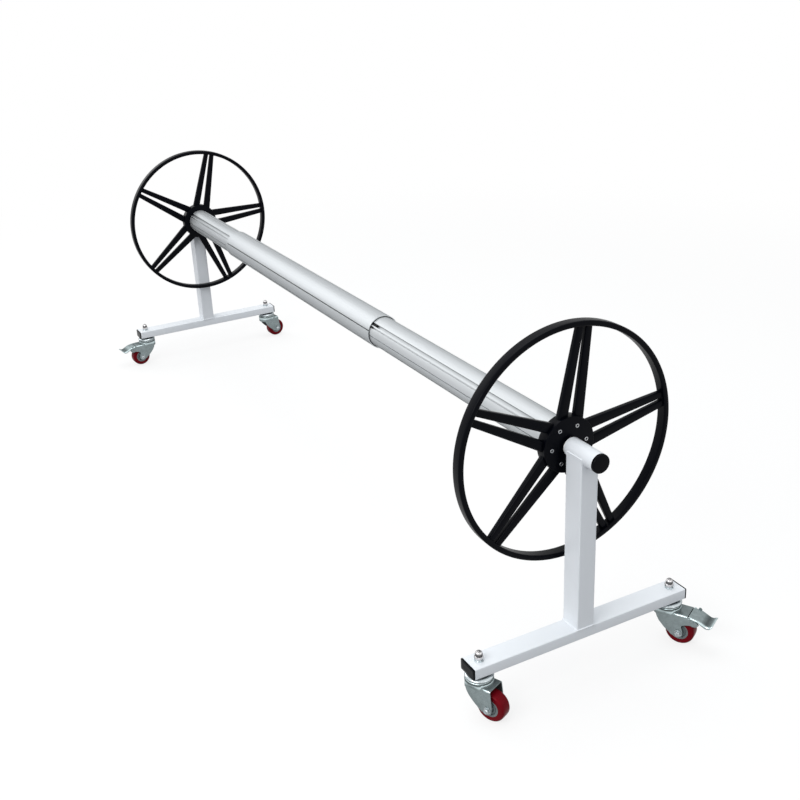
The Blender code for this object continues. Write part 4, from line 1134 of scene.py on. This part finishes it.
def make_floor():
    """Pale floor: white where it is looked at, with the shadow, and brighter far off."""
    bm = bmesh.new()
    bmesh.ops.create_grid(bm, x_segments=1, y_segments=1, size=FLOOR_REACH)
    mesh = meshed("floor", bm)
    material = bpy.data.materials.new("floor")
    material.use_nodes = True
    tree = material.node_tree
    tree.nodes.clear()
    seen = directly_seen(tree)
    colour = tree.nodes.new("ShaderNodeMix")
    colour.data_type = "RGBA"
    colour.inputs["A"].default_value = (*FLOOR_BOUNCE, 1)
    colour.inputs["B"].default_value = (*FLOOR_COLOUR, 1)
    tree.links.new(seen, colour.inputs["Factor"])
    matt = add_node(tree, "ShaderNodeBsdfDiffuse", {"Color": colour.outputs["Result"]})
    light = add_node(tree, "ShaderNodeEmission", {"Color": (1, 1, 1, 1), "Strength": 1.0})
    place = tree.nodes.new("ShaderNodeTexCoord")
    reach = add_node(tree, "ShaderNodeVectorMath", {0: place.outputs["Object"]}, "LENGTH")
    fade = add_node(tree, "ShaderNodeMapRange", {
        "Value": reach.outputs["Value"], "From Min": FLOOR_FADE[0], "From Max": FLOOR_FADE[1],
        "To Min": FLOOR_GLOW, "To Max": 1.0})
    fade.interpolation_type = "SMOOTHSTEP"
    glow = add_node(tree, "ShaderNodeMath", {0: seen, 1: fade.outputs["Result"]}, "MULTIPLY")
    mix = add_node(tree, "ShaderNodeMixShader", {"Fac": glow.outputs[0], 1: matt.outputs[0],
                                                 2: light.outputs[0]})
    add_node(tree, "ShaderNodeOutputMaterial", {"Surface": mix.outputs[0]})
    mesh.materials.append(material)
    placed("floor", mesh, Matrix.Translation((0, 0, -FLOOR_DROP)))


def make_lamp(name, place, target, size, power):
    lamp = bpy.data.lights.new(name, "AREA")
    lamp.shape = "RECTANGLE"
    lamp.size, lamp.size_y = size
    lamp.energy = power
    direction = Vector(target) - Vector(place)
    turn = direction.to_track_quat("-Z", "Y").to_matrix().to_4x4()
    placed(name, lamp, Matrix.Translation(place) @ turn)


def make_camera():
    camera = bpy.data.cameras.new("camera")
    camera.lens = CAMERA_LENS
    camera.sensor_width = CAMERA_SENSOR
    camera.sensor_fit = "HORIZONTAL"
    camera.clip_end = CAMERA_REACH
    level = cos(CAMERA_ELEVATION)
    back = Vector((sin(CAMERA_AZIMUTH) * level, -cos(CAMERA_AZIMUTH) * level, sin(CAMERA_ELEVATION)))
    right = Vector((cos(CAMERA_AZIMUTH), sin(CAMERA_AZIMUTH), 0))
    up = back.cross(right)
    roll = Matrix.Rotation(CAMERA_ROLL, 4, "Z")
    axes = Matrix((right, up, back)).transposed().to_4x4()
    nudge = Matrix.Rotation(-CAMERA_NUDGE[0], 4, "Y") @ Matrix.Rotation(CAMERA_NUDGE[1], 4, "X")
    middle = Vector(((STAND_X["near"] + STAND_X["far"]) / 2, CENTRE_Y, 0))
    place = Matrix.Translation(Vector(CAMERA_PLACE) + middle)
    bpy.context.scene.camera = placed("camera", camera, place @ axes @ roll @ nudge)


make_world()
make_floor()
for lamp_row in LAMPS:
    make_lamp(*lamp_row)
make_camera()
bpy.context.scene.view_settings.view_transform = "Standard"


def corners(box):
    return [[round(value, 6) for value in corner] for corner in box]
